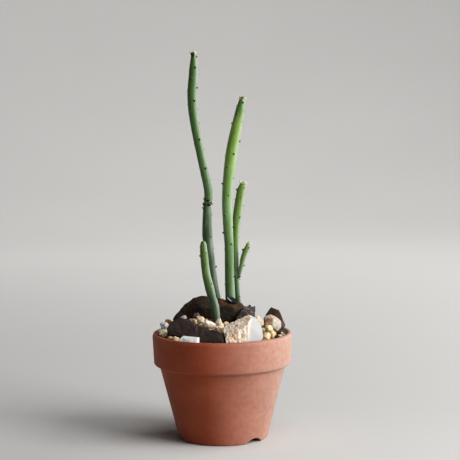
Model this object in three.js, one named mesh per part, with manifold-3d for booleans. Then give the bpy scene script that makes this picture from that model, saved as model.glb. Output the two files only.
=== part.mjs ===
// A potted stick euphorbia (Euphorbia oncoclada): four jointed green stems stand in a small
// clay pot that is dressed with gravel and larger stones.
// Millimetres, +Z up. The origin lies on the ground under the pot's axis. -Y is the front of
// the arrangement and +X its right side.
import * as THREE from 'three';
import { ConvexGeometry } from 'three/addons/geometries/ConvexGeometry.js';
import { mergeVertices } from 'three/addons/utils/BufferGeometryUtils.js';
import Module from 'manifold-3d';

const wasm = await Module();
wasm.setup();

// Driving dimensions of the pot
const RIM_RADIUS = 45;
const POT_HEIGHT = 68.2;
const RIM_INNER_RADIUS = 42.6;
const COLLAR_BOTTOM = 47.8;
const COLLAR_BOTTOM_RADIUS = 44.1;
const BODY_TOP_RADIUS = 40.8;
const FOOT_RADIUS = 28.7;
const FOOT_RING_INNER_RADIUS = 22.6;
const FOOT_RECESS = 3.9;
const FLOOR_TOP = 9;
const FLOOR_INNER_RADIUS = 25.4;
const DRAIN_HOLE_RADIUS = 7;
const POT_SIDES = 48;

// Worn edges of the turned clay: how far each one's rounding reaches
const FOOT_EDGE = 1;
const COLLAR_EDGE = 1.9;
const COLLAR_UNDERCUT = 0.4;
const RIM_EDGE = 1.3;
const FLOOR_CORNER = 2;

// Arched notches in the foot, measured from the front towards the right
const NOTCH_ANGLES = [44, 164, -76];
const NOTCH_HALF_WIDTH = 7.3;
const NOTCH_HEIGHT = 3.4;
const NOTCH_DEPTH = 12;
const NOTCH_SIDES = 40;

// Filling of the pot
const CLEARANCE = 0.32;
const SOIL_TOP = 57;
const FILL_SIDES = 36;
const MOUND_EDGE_HEIGHT = 64.2;
const MOUND_RISE = 7.2;
const MOUND_RADIUS = 40.5;
const MOUND_TILT = -0.03;
const BED_STEP = 7.5;
const HEAP_CENTRE = [-18, -6];
const HEAP_RISE = 4.5;
const HEAP_REACH = 11.5;
const GRAVEL_SPACING = 6;
const GRAVEL_HALF_SIZE = 3.8;
const GRAIN_CORNERS = 9;
const GRAIN_OVERLAP = 0.25;
const GRAVEL_TRIES = 3000;
const GRAVEL_SEED = 2024;
const GRAVEL_FROM_WALL = 3.8;
const ROOM_ABOVE_RIM = 20;
const PEBBLE_CORNERS = 14;
const PEBBLE_LEAST_REACH = 0.84;
const PEBBLE_REACH_SPREAD = 0.2;
const SEAT_DROP = 2.8;
const SEAT_SPREAD = 1.2;
const SEAT_SEED = 7;
const SCREEN_RADIUS = 11;
const SCREEN_THICKNESS = 0.8;
const SCREEN_HOLE = 2.2;
const SCREEN_PITCH = 3.4;

// Stems
const STEM_SIDES = 10;
const STEM_STEP = 5.5;
const STUB_BOTTOM = 40;
const GOLDEN_ANGLE = THREE.MathUtils.degToRad(137.5);
const SCAR_SPACING_TIP = 2.2;
const SCAR_SPACING_FOOT = 4.4;
const SCAR_RADIUS = 0.75;
const SCAR_HEIGHT = 0.75;
const SCAR_SUNK = 0.8;
const SCAR_FIRST = 3;
const SCAR_CROWDED_LENGTH = 90;
const SCAR_JITTER = 0.5;
const SCAR_LEAN = 0.5;
const TIP_LEAVES = 4;
const TIP_LEAF_WIDTH = 0.9;
const TIP_LEAF_FLATNESS = 0.75;
const TIP_LEAF_HEIGHT = 1.2;
const TIP_LEAF_LEAN = 1.1;
const TIP_DOME = 0.4;

const WELD = 1e-4;
const FINEST_EDGE = 0.03;

// Random draws that repeat on every run
function seededDraws(seed) {
  let state = seed;
  return () => {
    state = (state * 16807) % 2147483647;
    return state / 2147483647;
  };
}

// A closed geometry as a solid that can be joined and cut
function toSolid(geometry) {
  const bare = geometry.clone();
  bare.deleteAttribute('normal');
  bare.deleteAttribute('uv');
  const merged = mergeVertices(bare, WELD);
  return new wasm.Manifold(new wasm.Mesh({
    numProp: 3,
    vertProperties: Float32Array.from(merged.attributes.position.array),
    triVerts: Uint32Array.from(merged.index.array),
  }));
}

function toGeometry(solid) {
  const mesh = solid.getMesh();
  const geometry = new THREE.BufferGeometry();
  geometry.setAttribute('position', new THREE.BufferAttribute(mesh.vertProperties, 3));
  geometry.setIndex(new THREE.BufferAttribute(mesh.triVerts, 1));
  geometry.computeVertexNormals();
  return geometry;
}

// The largest connected body of a solid, without loose scraps and slivers along its cuts
function largestBody(solid) {
  const bodies = solid.simplify(FINEST_EDGE).decompose();
  return bodies.reduce((best, body) => (body.volume() > best.volume() ? body : best));
}

function join(solids) {
  return solids.reduce((whole, solid) => whole.add(solid));
}

function carve(solid, cutters) {
  return largestBody(cutters.reduce((left, cutter) => left.subtract(cutter), solid));
}

// A solid of revolution about the pot's axis from [radius, height] points. The outline runs
// anticlockwise, with the axis on its left.
function revolve(outline, sides) {
  const points = outline.map(([radius, height]) => new THREE.Vector2(radius, height));
  const geometry = new THREE.LatheGeometry(points, sides);
  geometry.rotateX(Math.PI / 2);
  return geometry;
}

function toVectors(points) {
  return points.map(([x, y, z]) => new THREE.Vector3(x, y, z));
}

function hullSolid(points) {
  return toSolid(new ConvexGeometry(points));
}

// Corners of an icosahedron whose faces lie at the given distance from its centre
function icosahedronCorners(distance) {
  const golden = (1 + Math.sqrt(5)) / 2;
  const scale = distance / (golden * golden / Math.sqrt(3));
  const corners = [];
  for (const a of [-1, 1]) {
    for (const b of [-golden, golden]) {
      corners.push(new THREE.Vector3(0, a, b), new THREE.Vector3(a, b, 0), new THREE.Vector3(b, 0, a));
    }
  }
  return corners.map((corner) => corner.multiplyScalar(scale));
}

// A convex body grown by the clearance on every side
function grownHull(points) {
  const corners = icosahedronCorners(CLEARANCE);
  const spread = points.flatMap((point) => corners.map((corner) => corner.clone().add(point)));
  return hullSolid(spread);
}

// Pot: one turned wall with a thick collar, a recessed underside, a drain hole and foot notches

function innerWallRadius(height) {
  const rise = (height - FLOOR_TOP) / (POT_HEIGHT - FLOOR_TOP);
  return FLOOR_INNER_RADIUS + (RIM_INNER_RADIUS - FLOOR_INNER_RADIUS) * rise;
}

function buildPot() {
  const wall = revolve([
    [DRAIN_HOLE_RADIUS, FOOT_RECESS],
    [FOOT_RING_INNER_RADIUS, FOOT_RECESS],
    [FOOT_RING_INNER_RADIUS + 0.6 * FOOT_EDGE, 0],
    [FOOT_RADIUS - FOOT_EDGE, 0],
    [FOOT_RADIUS - 0.1 * FOOT_EDGE, 0.9 * FOOT_EDGE],
    [BODY_TOP_RADIUS, COLLAR_BOTTOM + COLLAR_UNDERCUT],
    [COLLAR_BOTTOM_RADIUS - COLLAR_EDGE, COLLAR_BOTTOM],
    [COLLAR_BOTTOM_RADIUS - 0.25 * COLLAR_EDGE, COLLAR_BOTTOM + 0.3 * COLLAR_EDGE],
    [COLLAR_BOTTOM_RADIUS, COLLAR_BOTTOM + COLLAR_EDGE],
    [RIM_RADIUS, POT_HEIGHT - RIM_EDGE],
    [RIM_RADIUS - 0.25 * RIM_EDGE, POT_HEIGHT - 0.4 * RIM_EDGE],
    [RIM_RADIUS - RIM_EDGE, POT_HEIGHT],
    [RIM_INNER_RADIUS + 0.4 * RIM_EDGE, POT_HEIGHT],
    [RIM_INNER_RADIUS, POT_HEIGHT - 0.4 * RIM_EDGE],
    [innerWallRadius(FLOOR_TOP + FLOOR_CORNER), FLOOR_TOP + FLOOR_CORNER],
    [FLOOR_INNER_RADIUS - 0.7 * FLOOR_CORNER, FLOOR_TOP],
    [DRAIN_HOLE_RADIUS, FLOOR_TOP],
    [DRAIN_HOLE_RADIUS, FOOT_RECESS],
  ], POT_SIDES);
  return carve(toSolid(wall), NOTCH_ANGLES.map(notchCutter));
}

// A lying cylinder whose upper arc is the notch's arch
function notchCutter(degrees) {
  const arcRadius = (NOTCH_HALF_WIDTH ** 2 + NOTCH_HEIGHT ** 2) / (2 * NOTCH_HEIGHT);
  const middle = (FOOT_RADIUS + FOOT_RING_INNER_RADIUS) / 2;
  const cylinder = new THREE.CylinderGeometry(arcRadius, arcRadius, NOTCH_DEPTH, NOTCH_SIDES);
  cylinder.translate(0, -middle, 0);
  cylinder.translate(0, 0, NOTCH_HEIGHT - arcRadius);
  cylinder.rotateZ(THREE.MathUtils.degToRad(degrees));
  return toSolid(cylinder);
}

// The room inside the pot's wall, open upwards past the rim
function roomInPot() {
  const bottom = FLOOR_TOP + CLEARANCE;
  const corner = FLOOR_TOP + FLOOR_CORNER;
  const widest = RIM_INNER_RADIUS - 1.8 * CLEARANCE;
  const top = POT_HEIGHT + ROOM_ABOVE_RIM;
  return toSolid(revolve([
    [0, bottom],
    [FLOOR_INNER_RADIUS - 0.7 * FLOOR_CORNER - CLEARANCE, bottom],
    [innerWallRadius(corner) - 1.2 * CLEARANCE, corner],
    [widest, POT_HEIGHT - RIM_EDGE],
    [widest, top],
    [0, top],
  ], FILL_SIDES * 2));
}

// Stems: round jointed sticks along measured stations [x, y, z, diameter], from the tip down

const STEMS = {
  stem_tall_left: {
    stations: [
      [-16.7, 5, 247.4, 2.4], [-16.5, 5, 244.2, 3.9], [-16.6, 5.5, 238.7, 5.4], [-17.8, 6.5, 220.3, 6.2],
      [-17.0, 7.5, 206.3, 5.8], [-13.5, 9, 185.7, 5.3], [-8.5, 11, 161.1, 5.5], [-8.0, 11.5, 155.2, 5.7],
      [-8.5, 12, 151.0, 5.5], [-8.8, 12, 149.4, 4.6], [-9.0, 12.2, 147.8, 5.4], [-9.1, 13, 130.4, 6.7],
      [-8.2, 13.5, 119.9, 6.4], [-5.4, 16, 95.4, 6.1], [-3.8, 17, 86.7, 6.1], [-2.2, 17, 74, 5.6],
      [-2, 17, STUB_BOTTOM, 4.6],
    ],
    scarSeed: 11,
    scarTurn: 0.4,
    tipTurn: 0.5,
    color: 0x6f9a72,
  },
  stem_short_left: {
    stations: [
      [-11.4, -6, 127.2, 2.4], [-11.4, -6, 125.2, 4.2], [-11.2, -6, 120.5, 5.0], [-9.8, -5.5, 106.5, 5.3],
      [-7.9, -5, 98.0, 5.8], [-6.7, -4.5, 92.8, 5.6], [-6.3, -4.5, 91.2, 4.9], [-5.8, -4, 89.4, 5.7],
      [-4.9, -4, 85.6, 6.1], [-4.0, -4, 80.4, 5.3], [-3.4, -4, 74, 4.8], [-3.2, -4, STUB_BOTTOM, 4.0],
    ],
    scarSeed: 23,
    scarTurn: 2.6,
    tipTurn: 1.2,
    color: 0x8fb560,
  },
  stem_tall_middle: {
    stations: [
      [14.3, 9, 218.6, 3.4], [13.9, 9, 216.0, 5.3], [12.9, 9, 211.1, 6.3], [8.9, 10, 192.6, 7.3],
      [6.6, 10.5, 180.3, 7.5], [4.0, 11.5, 155.1, 6.7], [4.4, 12.5, 134.2, 6.5], [4.9, 13, 123.1, 5.9],
      [5.1, 14, 100.0, 6.2], [5.4, 14, 89.5, 6.6], [5.8, 14, 74, 6.0], [6, 14, STUB_BOTTOM, 4.8],
    ],
    scarSeed: 37,
    scarTurn: 1.1,
    tipTurn: 0.2,
    color: 0x8aae62,
  },
  stem_thin_right: {
    stations: [
      [14.6, 17, 163.6, 3.0], [14.2, 17, 161.9, 4.6], [12.9, 17, 158.2, 5.4], [10.7, 17.5, 143.5, 5.8],
      [9.5, 18, 133.7, 5.4], [9.0, 18, 121, 4.0], [9.3, 18, 112.5, 3.7], [9.4, 18, 103.4, 3.7],
      [9.5, 18, 101.5, 3.2], [9.6, 18, 99.4, 3.8], [10.0, 18, 91.5, 3.8], [10.8, 18.2, 82, 4.0],
      [11.4, 18.5, STUB_BOTTOM, 3.4],
    ],
    branch: [
      [17.5, 14, 124.6, 1.8], [17.0, 14, 122.6, 3.1], [14.3, 15, 114.9, 3.6], [12.6, 15.9, 107.5, 2.9],
      [11.6, 16.7, 103.4, 2.2], [9.9, 17.8, 99.8, 2.2],
    ],
    scarSeed: 51,
    scarTurn: 0.9,
    tipTurn: 0.7,
    color: 0x86ab64,
  },
};

// Rings along the stem: between two stations there is one ring about every STEM_STEP
function stemRings(stations, grow) {
  const path = new THREE.CatmullRomCurve3(toVectors(stations), false, 'centripetal');
  const rings = [];
  const last = stations.length - 1;
  for (let k = 0; k < last; k++) {
    const span = toVectors([stations[k]])[0].distanceTo(toVectors([stations[k + 1]])[0]);
    const pieces = Math.max(1, Math.round(span / STEM_STEP));
    for (let i = 0; i < pieces; i++) {
      rings.push(ringAt(path, stations, (k + i / pieces) / last, grow));
    }
  }
  rings.push(ringAt(path, stations, 1, grow));
  return rings;
}

function ringAt(path, stations, t, grow) {
  const position = t * (stations.length - 1);
  const k = Math.min(Math.floor(position), stations.length - 2);
  const diameter = THREE.MathUtils.lerp(stations[k][3], stations[k + 1][3], position - k);
  const along = path.getTangent(t);
  const side = new THREE.Vector3(1, 0, 0).addScaledVector(along, -along.x).normalize();
  const front = new THREE.Vector3().crossVectors(along, side);
  return { centre: path.getPoint(t), radius: diameter / 2 + grow, along, side, front };
}

function pointOnRing(ring, angle, radius) {
  return ring.centre.clone()
    .addScaledVector(ring.side, radius * Math.cos(angle))
    .addScaledVector(ring.front, radius * Math.sin(angle));
}

// A closed round skin over the rings, with a low point on each end
function skin(rings) {
  const positions = [];
  const index = [];
  for (const ring of rings) {
    for (let j = 0; j < STEM_SIDES; j++) {
      positions.push(...pointOnRing(ring, (j / STEM_SIDES) * 2 * Math.PI, ring.radius));
    }
  }
  const first = rings[0];
  const last = rings[rings.length - 1];
  const tip = positions.length / 3;
  positions.push(...first.centre.clone().addScaledVector(first.along, -TIP_DOME * first.radius));
  positions.push(...last.centre);
  for (let j = 0; j < STEM_SIDES; j++) {
    const next = (j + 1) % STEM_SIDES;
    for (let i = 0; i < rings.length - 1; i++) {
      const a = i * STEM_SIDES + j;
      const b = i * STEM_SIDES + next;
      index.push(a, b, a + STEM_SIDES, b, b + STEM_SIDES, a + STEM_SIDES);
    }
    index.push(tip, next, j);
    const end = (rings.length - 1) * STEM_SIDES;
    index.push(tip + 1, end + j, end + next);
  }
  const geometry = new THREE.BufferGeometry();
  geometry.setAttribute('position', new THREE.Float32BufferAttribute(positions, 3));
  geometry.setIndex(index);
  return toSolid(geometry);
}

// A four-sided spike that leaves the stem at the given ring and angle and leans to the tip
function spike(ring, angle, width, flatness, height, sunk, lean) {
  const geometry = new THREE.ConeGeometry(width, height + sunk, 4);
  geometry.scale(1, 1, flatness);
  geometry.translate(0, (height - sunk) / 2, 0);
  const outward = pointOnRing(ring, angle, 1).sub(ring.centre);
  const pointing = outward.addScaledVector(ring.along, -lean).normalize();
  const turn = new THREE.Quaternion().setFromUnitVectors(new THREE.Vector3(0, 1, 0), pointing);
  geometry.applyQuaternion(turn);
  geometry.translate(...pointOnRing(ring, angle, ring.radius));
  return toSolid(geometry);
}

// Leaf scars wind up the stem by the golden angle and crowd towards the tip
function leafScars(rings, seed, firstAngle, groundHeight) {
  const draw = seededDraws(seed);
  const centres = new THREE.CurvePath();
  rings.slice(1).forEach((ring, i) => centres.add(new THREE.LineCurve3(rings[i].centre, ring.centre)));
  const length = centres.getLength();
  const scars = [];
  let travelled = SCAR_FIRST;
  let angle = firstAngle;
  while (travelled < length) {
    const u = travelled / length;
    const centre = centres.getPointAt(u);
    if (centre.z < groundHeight) break;
    const nearest = rings.reduce((a, b) => (
      b.centre.distanceTo(centre) < a.centre.distanceTo(centre) ? b : a));
    const ring = { ...nearest, centre };
    ring.radius = radiusNear(rings, centre);
    scars.push(spike(ring, angle, SCAR_RADIUS, 1, SCAR_HEIGHT, SCAR_SUNK, SCAR_LEAN));
    angle += GOLDEN_ANGLE + SCAR_JITTER * (draw() - 0.5);
    const aged = Math.min(1, travelled / SCAR_CROWDED_LENGTH);
    const spacing = THREE.MathUtils.lerp(SCAR_SPACING_TIP, SCAR_SPACING_FOOT, aged);
    travelled += spacing * (1 + SCAR_JITTER * (draw() - 0.5));
  }
  return scars;
}

// Radius between the two rings that lie nearest to a point of the axis
function radiusNear(rings, centre) {
  for (let i = 0; i < rings.length - 1; i++) {
    const { z: high } = rings[i].centre;
    const { z: low } = rings[i + 1].centre;
    if (centre.z <= high && centre.z >= low) {
      const part = (high - centre.z) / Math.max(high - low, WELD);
      return THREE.MathUtils.lerp(rings[i].radius, rings[i + 1].radius, part);
    }
  }
  return rings[0].radius;
}

// Withered scale leaves that ring the growing tip
function tipLeaves(ring, firstAngle) {
  const leaves = [];
  for (let k = 0; k < TIP_LEAVES; k++) {
    const angle = firstAngle + k * GOLDEN_ANGLE;
    const height = TIP_LEAF_HEIGHT;
    leaves.push(spike(ring, angle, TIP_LEAF_WIDTH, TIP_LEAF_FLATNESS, height, height, TIP_LEAF_LEAN));
  }
  return leaves;
}

function buildStem({ stations, branch, scarSeed, scarTurn, tipTurn }) {
  const sticks = [stations, branch].filter(Boolean).map((line) => stemRings(line, 0));
  const barkHeight = mound(0, 0) + MOUND_RISE;
  const details = sticks.flatMap((rings, i) => [
    ...leafScars(rings, scarSeed + i, scarTurn, barkHeight),
    ...tipLeaves(rings[0], tipTurn),
  ]);
  return largestBody(join([...sticks.map(skin), ...details]));
}

// The room that a stem needs in the filling and between the stones
function stemRoom({ stations }) {
  const lowest = stations[stations.length - 1];
  const deeper = [lowest[0], lowest[1], lowest[2] - CLEARANCE, lowest[3]];
  return skin(stemRings([...stations.slice(0, -1), deeper], CLEARANCE + 0.05));
}

// Dressing stones, each the hull of its corners, or of a few hulls where it has a hollow

const ROCKS = {
  rock_back_brown: {
    hulls: [[
      [-32, 9, 75], [-29, 9, 79.5], [-22, 12, 85.5], [-17.5, 12, 89.5], [-13.5, 12, 90], [-9, 11.5, 89],
      [-1.5, 10.5, 88], [6.5, 9, 87.3], [10.2, 5, 85.3], [10.4, 2, 80.7], [8, 1, 77], [0.5, -1.3, 71.5],
      [-0.7, 2.5, 83.5], [7.2, 2.6, 83.8], [-14, 4, 83.5], [-12, 1, 74], [-29, 4, 71], [-27, 16, 73],
      [-12, 14.5, 82], [-16, 16, 70], [8, 9, 70], [10.8, 8.5, 85.8], [12.4, 8.5, 85], [13.4, 8, 83.6],
      [11.6, 6, 82], [11, 8.5, 76],
    ]],
    color: 0x4a3a2e,
  },
  rock_back_grey: {
    hulls: [
      [
        [8.6, -7, 78], [16, -8, 80.8], [12.2, 1.5, 82.2], [13.8, 2.5, 82.6], [15.4, 9, 83.4], [17.5, 11, 83.4],
        [21.2, 12, 82.6], [21.2, 5, 80.8], [20.2, -5, 80.3], [10.5, -5.5, 71], [21, -6, 70], [21.4, 10, 70],
        [14.5, 12, 70],
      ],
      [[17.4, 11, 84.3], [18.8, 9.5, 84.1], [16.2, 8, 80], [20, 8, 80], [19, 11.5, 79], [16.2, 11.5, 79]],
      [[20.8, 10.5, 83.7], [21.7, 11.5, 83.3], [19.5, 7, 80], [21.4, 6, 80], [21.8, 12.3, 79], [19, 12.3, 79]],
      [[13.2, 10, 84.3], [14.8, 9.2, 84.1], [12.4, 7.5, 79], [16.4, 7, 80], [16, 11.5, 79], [12.6, 11.5, 79]],
    ],
    color: 0x857d7c,
  },
  rock_front_slab: {
    hulls: [
      [
        [-34.5, -17, 74.5], [-33, -15, 77], [-29.5, -14, 78.5], [-26.5, -14, 79.5], [-20, -15, 78.7],
        [-17.5, -18.5, 76.5], [-16, -22, 75.5], [-34, -20, 70], [-26, -24.3, 69.5], [-16, -29, 68.5],
        [-31, -14.5, 66], [-20, -16, 66], [-17, -26, 65],
      ],
      [
        [-21, -17, 77], [-13.5, -22, 75], [-8.5, -25, 73.8], [-2.5, -28, 73.2], [-1.5, -29.5, 72.3],
        [0.6, -32, 71.2], [1.2, -37, 68.2], [0.5, -37.3, 65.5], [-8, -34, 66.5], [-16, -30, 67.5],
        [-21.5, -25.5, 69], [-18, -20, 66], [-2, -29, 65.5],
      ],
    ],
    color: 0x4b423f,
  },
  rock_front_pale: {
    hulls: [[
      [0.2, -27, 75.6], [2.4, -38, 68], [7, -24, 77.9], [11, -22, 80.1], [16.8, -22, 82.6],
      [21.2, -23, 80.8], [23, -24, 78.7], [24.6, -25, 76.2], [25.6, -28.5, 69.8], [24.9, -30.3, 67.5],
      [18.4, -27, 81.5], [16.2, -32, 78.4], [16.2, -35.8, 68.2], [2.6, -24, 66], [14, -17, 67],
      [23, -20, 66], [14, -36, 65.5], [3, -37.3, 65.5],
    ]],
    color: 0xe4ddcf,
  },
  rock_right_dark: {
    hulls: [[
      [31.7, 7, 83], [37, 7, 81], [28, -3, 79.5], [34.4, -3, 78.9], [26.7, 2, 76.2], [27, 2, 73.5],
      [39.8, 5, 74.3], [41, 2, 71.8], [40, -2, 70.8], [29, -2, 67], [37.2, -2.5, 67], [37, 8, 67],
      [29, 9, 68],
    ]],
    color: 0x6b5a5c,
  },
  stone_right_cream: {
    hulls: [[
      [27.2, -7, 79.3], [31.3, -6, 80.2], [35.1, -8, 78.6], [37.4, -7, 76], [37.8, -8, 72.4],
      [35.3, -9, 69.7], [32.3, -14, 73.5], [27.3, -13, 74.8], [32.4, -13, 77.6], [28.6, -8, 70],
      [36, -5, 70],
    ]],
    color: 0xd9cbb0,
  },
  chip_front_white: {
    hulls: [[
      [-25.6, -28.6, 70], [-14.6, -33.6, 69.8], [-24.2, -26.6, 70.4], [-13.6, -31.6, 70.2],
      [-28.2, -30, 66.8], [-15.8, -37.6, 66.6], [-24.2, -27, 67], [-13.8, -33.2, 66.6],
    ]],
    color: 0xc4d0ca,
  },
  chip_dark_glossy: {
    hulls: [[
      [3, 7.5, 89.4], [6.3, 8.6, 89.7], [10.2, 6.6, 88], [10.4, 4.2, 86.5], [6.9, 3.2, 86.8],
      [3.3, 5.4, 88.3], [6.3, 8.9, 88.3], [9.4, 7, 86.9],
    ]],
    color: 0x2b2a30,
  },
};

// Loose pebbles that stand out from the gravel: centre, half sizes, seed and colour
const PEBBLES = {
  pebble_grey_left: { centre: [-25, -5.4, 78.0], half: [3.3, 2.7, 2.3], seed: 5, color: 0xb3aba3 },
  pebble_mauve: { centre: [-16.1, -4.6, 79.2], half: [3.0, 2.6, 2.5], seed: 8, color: 0x6d5a55 },
  pebble_cream_back: { centre: [-14, -11.5, 77.8], half: [3.1, 2.8, 3.1], seed: 13, color: 0xd9c7a0 },
  pebble_brown_rind: { centre: [-17.2, -12.2, 76.6], half: [2.5, 2.6, 2.9], seed: 17, color: 0xb59a78 },
  pebble_pink_long: { centre: [-8.4, -17.4, 75.6], half: [5.4, 2.6, 2.7], seed: 19, tilt: 0.35, color: 0xdcc3b2 },
  pebble_pink_small: { centre: [-2.4, -21.6, 73.7], half: [3.3, 2.4, 2.2], seed: 21, color: 0xdcbfae },
  pebble_stem_foot: { centre: [-2.2, -9.9, 76.4], half: [2.8, 2.3, 2.9], seed: 27, color: 0xd8cdb6 },
  pebble_grey_white: { centre: [-37.1, -3, 73.1], half: [3.2, 3.1, 3.5], seed: 31, color: 0xb6bcc0 },
  pebble_orange: { centre: [-34.4, 2.8, 74.8], half: [3.1, 2.1, 1.7], seed: 34, color: 0xa9713f },
  pebble_tan_left: { centre: [-37.4, -10.4, 68.6], half: [3.5, 2.8, 2.3], seed: 39, color: 0xd6bd8c },
  pebble_tan_front: { centre: [-32.4, -19.8, 68.2], half: [3.0, 2.3, 2.4], seed: 42, color: 0xcfae7c },
  pebble_yellow_upper: { centre: [29.6, -18.6, 73.2], half: [3.2, 2.8, 2.6], seed: 47, color: 0xdcc08a },
  pebble_yellow_right: { centre: [31.6, -19.8, 69.6], half: [2.7, 2.6, 2.7], seed: 53, color: 0xd9b87c },
  pebble_yellow_front: { centre: [28.2, -24, 69], half: [2.9, 2.5, 2.7], seed: 58, color: 0xdfc48f },
  pebble_cream_sliver: { centre: [23.8, -11.5, 77], half: [4.4, 2.2, 2.3], seed: 61, tilt: 0.75, color: 0xdccdb0 },
};

// Corners of a knobbly pebble: evenly spread directions with seeded lengths
function pebbleCorners(centre, half, corners, draw, tilt = 0) {
  const points = [];
  for (let i = 0; i < corners; i++) {
    const height = 1 - (2 * i + 1) / corners;
    const ring = Math.sqrt(1 - height * height);
    const angle = i * GOLDEN_ANGLE + draw();
    const reach = PEBBLE_LEAST_REACH + PEBBLE_REACH_SPREAD * draw();
    const corner = new THREE.Vector3(
      half[0] * ring * Math.cos(angle) * reach,
      half[1] * ring * Math.sin(angle) * reach,
      half[2] * height * reach,
    );
    corner.applyAxisAngle(new THREE.Vector3(0, 1, 0), tilt);
    points.push(corner.add(new THREE.Vector3(...centre)));
  }
  return points;
}

// Grains piled under a loose pebble, from the mound up, on which it rests
function gravelSeat({ centre, half }) {
  const draw = seededDraws(SEAT_SEED);
  const size = half.map((extent) => extent * SEAT_SPREAD);
  const grains = [];
  for (let z = centre[2] - SEAT_DROP; z + size[2] > mound(centre[0], centre[1]); z -= SEAT_DROP) {
    grains.push(hullSolid(pebbleCorners([centre[0], centre[1], z], size, GRAIN_CORNERS, draw)));
  }
  return join(grains);
}

// Height of the gravel above the ground: a low mound with a heap at the left of its middle
function mound(x, y) {
  const rise = 1 - (Math.min(Math.hypot(x, y), MOUND_RADIUS) / MOUND_RADIUS) ** 2;
  const fromHeap = Math.hypot(x - HEAP_CENTRE[0], y - HEAP_CENTRE[1]) / HEAP_REACH;
  const heap = HEAP_RISE * Math.exp(-(fromHeap ** 2));
  return MOUND_EDGE_HEIGHT + MOUND_RISE * rise + heap + MOUND_TILT * x;
}

// Gravel: a mounded bed with its grains fused in, cut clear of what stands in it
function buildGravel(cutters, seats, room) {
  const bottom = SOIL_TOP + CLEARANCE;
  const outline = [[0, bottom], [RIM_RADIUS, bottom]];
  for (let radius = RIM_RADIUS; radius > 0; radius -= BED_STEP) {
    outline.push([radius, POT_HEIGHT]);
  }
  outline.push([0, POT_HEIGHT]);
  const bed = revolve(outline, FILL_SIDES);
  const places = bed.attributes.position;
  for (let i = 0; i < places.count; i++) {
    if (places.getZ(i) > bottom + 1) {
      places.setZ(i, mound(places.getX(i), places.getY(i)));
    }
  }
  const grains = gravelPlaces().map(({ x, y, draw }) => {
    const half = [0, 1, 2].map(() => GRAVEL_HALF_SIZE * (0.75 + 0.5 * draw()));
    const centre = [x, y, mound(x, y) + 0.25 * half[2]];
    return hullSolid(pebbleCorners(centre, half, GRAIN_CORNERS, draw));
  });
  const taken = join(cutters);
  const free = grains.filter((grain) => (
    grain.intersect(taken).volume() < GRAIN_OVERLAP * grain.volume()));
  return largestBody(join([toSolid(bed), ...seats, ...free]).intersect(room).subtract(taken));
}

// Seeded grain places over the mound, no two nearer than the spacing
function gravelPlaces() {
  const draw = seededDraws(GRAVEL_SEED);
  const places = [];
  for (let i = 0; i < GRAVEL_TRIES; i++) {
    const radius = (RIM_INNER_RADIUS - GRAVEL_FROM_WALL) * Math.sqrt(draw());
    const angle = 2 * Math.PI * draw();
    const x = radius * Math.cos(angle);
    const y = radius * Math.sin(angle);
    if (places.every((place) => Math.hypot(place.x - x, place.y - y) > GRAVEL_SPACING)) {
      places.push({ x, y, draw });
    }
  }
  return places;
}

// Soil under the gravel, with a shallow seat for the drain net and plain holes for the stems
function buildSoil(cutters, room) {
  const netRoom = SCREEN_RADIUS + CLEARANCE;
  const netTop = FLOOR_TOP + CLEARANCE + SCREEN_THICKNESS + CLEARANCE;
  const block = toSolid(revolve([
    [0, netTop],
    [netRoom, netTop],
    [netRoom, FLOOR_TOP],
    [RIM_RADIUS, FLOOR_TOP],
    [RIM_RADIUS, SOIL_TOP],
    [0, SOIL_TOP],
  ], FILL_SIDES));
  return carve(block.intersect(room), cutters);
}

// Net over the drain hole: a thin disc with rows of square holes
function buildDrainNet() {
  const bottom = FLOOR_TOP + CLEARANCE;
  const disc = toSolid(revolve([
    [0, bottom],
    [SCREEN_RADIUS, bottom],
    [SCREEN_RADIUS, bottom + SCREEN_THICKNESS],
    [0, bottom + SCREEN_THICKNESS],
  ], FILL_SIDES));
  const holes = [];
  for (let column = -2; column <= 2; column++) {
    for (let row = -2; row <= 2; row++) {
      const x = column * SCREEN_PITCH;
      const y = row * SCREEN_PITCH;
      if (Math.hypot(x, y) < SCREEN_RADIUS - SCREEN_HOLE) {
        const hole = new THREE.BoxGeometry(SCREEN_HOLE, SCREEN_HOLE, 4 * SCREEN_THICKNESS);
        holes.push(toSolid(hole.translate(x, y, bottom)));
      }
    }
  }
  return carve(disc, holes);
}

// Assembly

const plant = new THREE.Group();

function place(name, solid, color, roughness) {
  const material = new THREE.MeshStandardMaterial({ color, roughness, metalness: 0 });
  const mesh = new THREE.Mesh(toGeometry(solid), material);
  mesh.name = name;
  plant.add(mesh);
}

place('pot', buildPot(), 0xb2674a, 0.85);
place('drain_net', buildDrainNet(), 0x2e3a34, 0.6);

const stemRooms = Object.values(STEMS).map(stemRoom);
for (const [name, stem] of Object.entries(STEMS)) {
  place(name, buildStem(stem), stem.color, 0.5);
}

// What stands in the gravel keeps clear of the stems, and each stone of those before it
const taken = [...stemRooms];
for (const [name, { hulls, color }] of Object.entries(ROCKS)) {
  const bodies = hulls.map(toVectors);
  place(name, carve(join(bodies.map(hullSolid)), taken), color, 0.8);
  taken.push(...bodies.map(grownHull));
}
for (const [name, { centre, half, seed, tilt, color }] of Object.entries(PEBBLES)) {
  const corners = pebbleCorners(centre, half, PEBBLE_CORNERS, seededDraws(seed), tilt);
  place(name, carve(hullSolid(corners), taken), color, 0.8);
  taken.push(grownHull(corners));
}

const room = roomInPot();
const seats = Object.values(PEBBLES).map(gravelSeat);
place('gravel', buildGravel(taken, seats, room), 0xc9ad7e, 0.9);
place('soil', buildSoil(stemRooms, room), 0x3b2f26, 0.95);

export default plant;
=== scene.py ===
"""A potted stick euphorbia (Euphorbia oncoclada): jointed green stems stand in a small clay pot that
is dressed with gravel and stones. Metres, +Z up. The origin lies on the ground under the pot's axis,
-Y is the front of the arrangement and +X its right side."""

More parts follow.
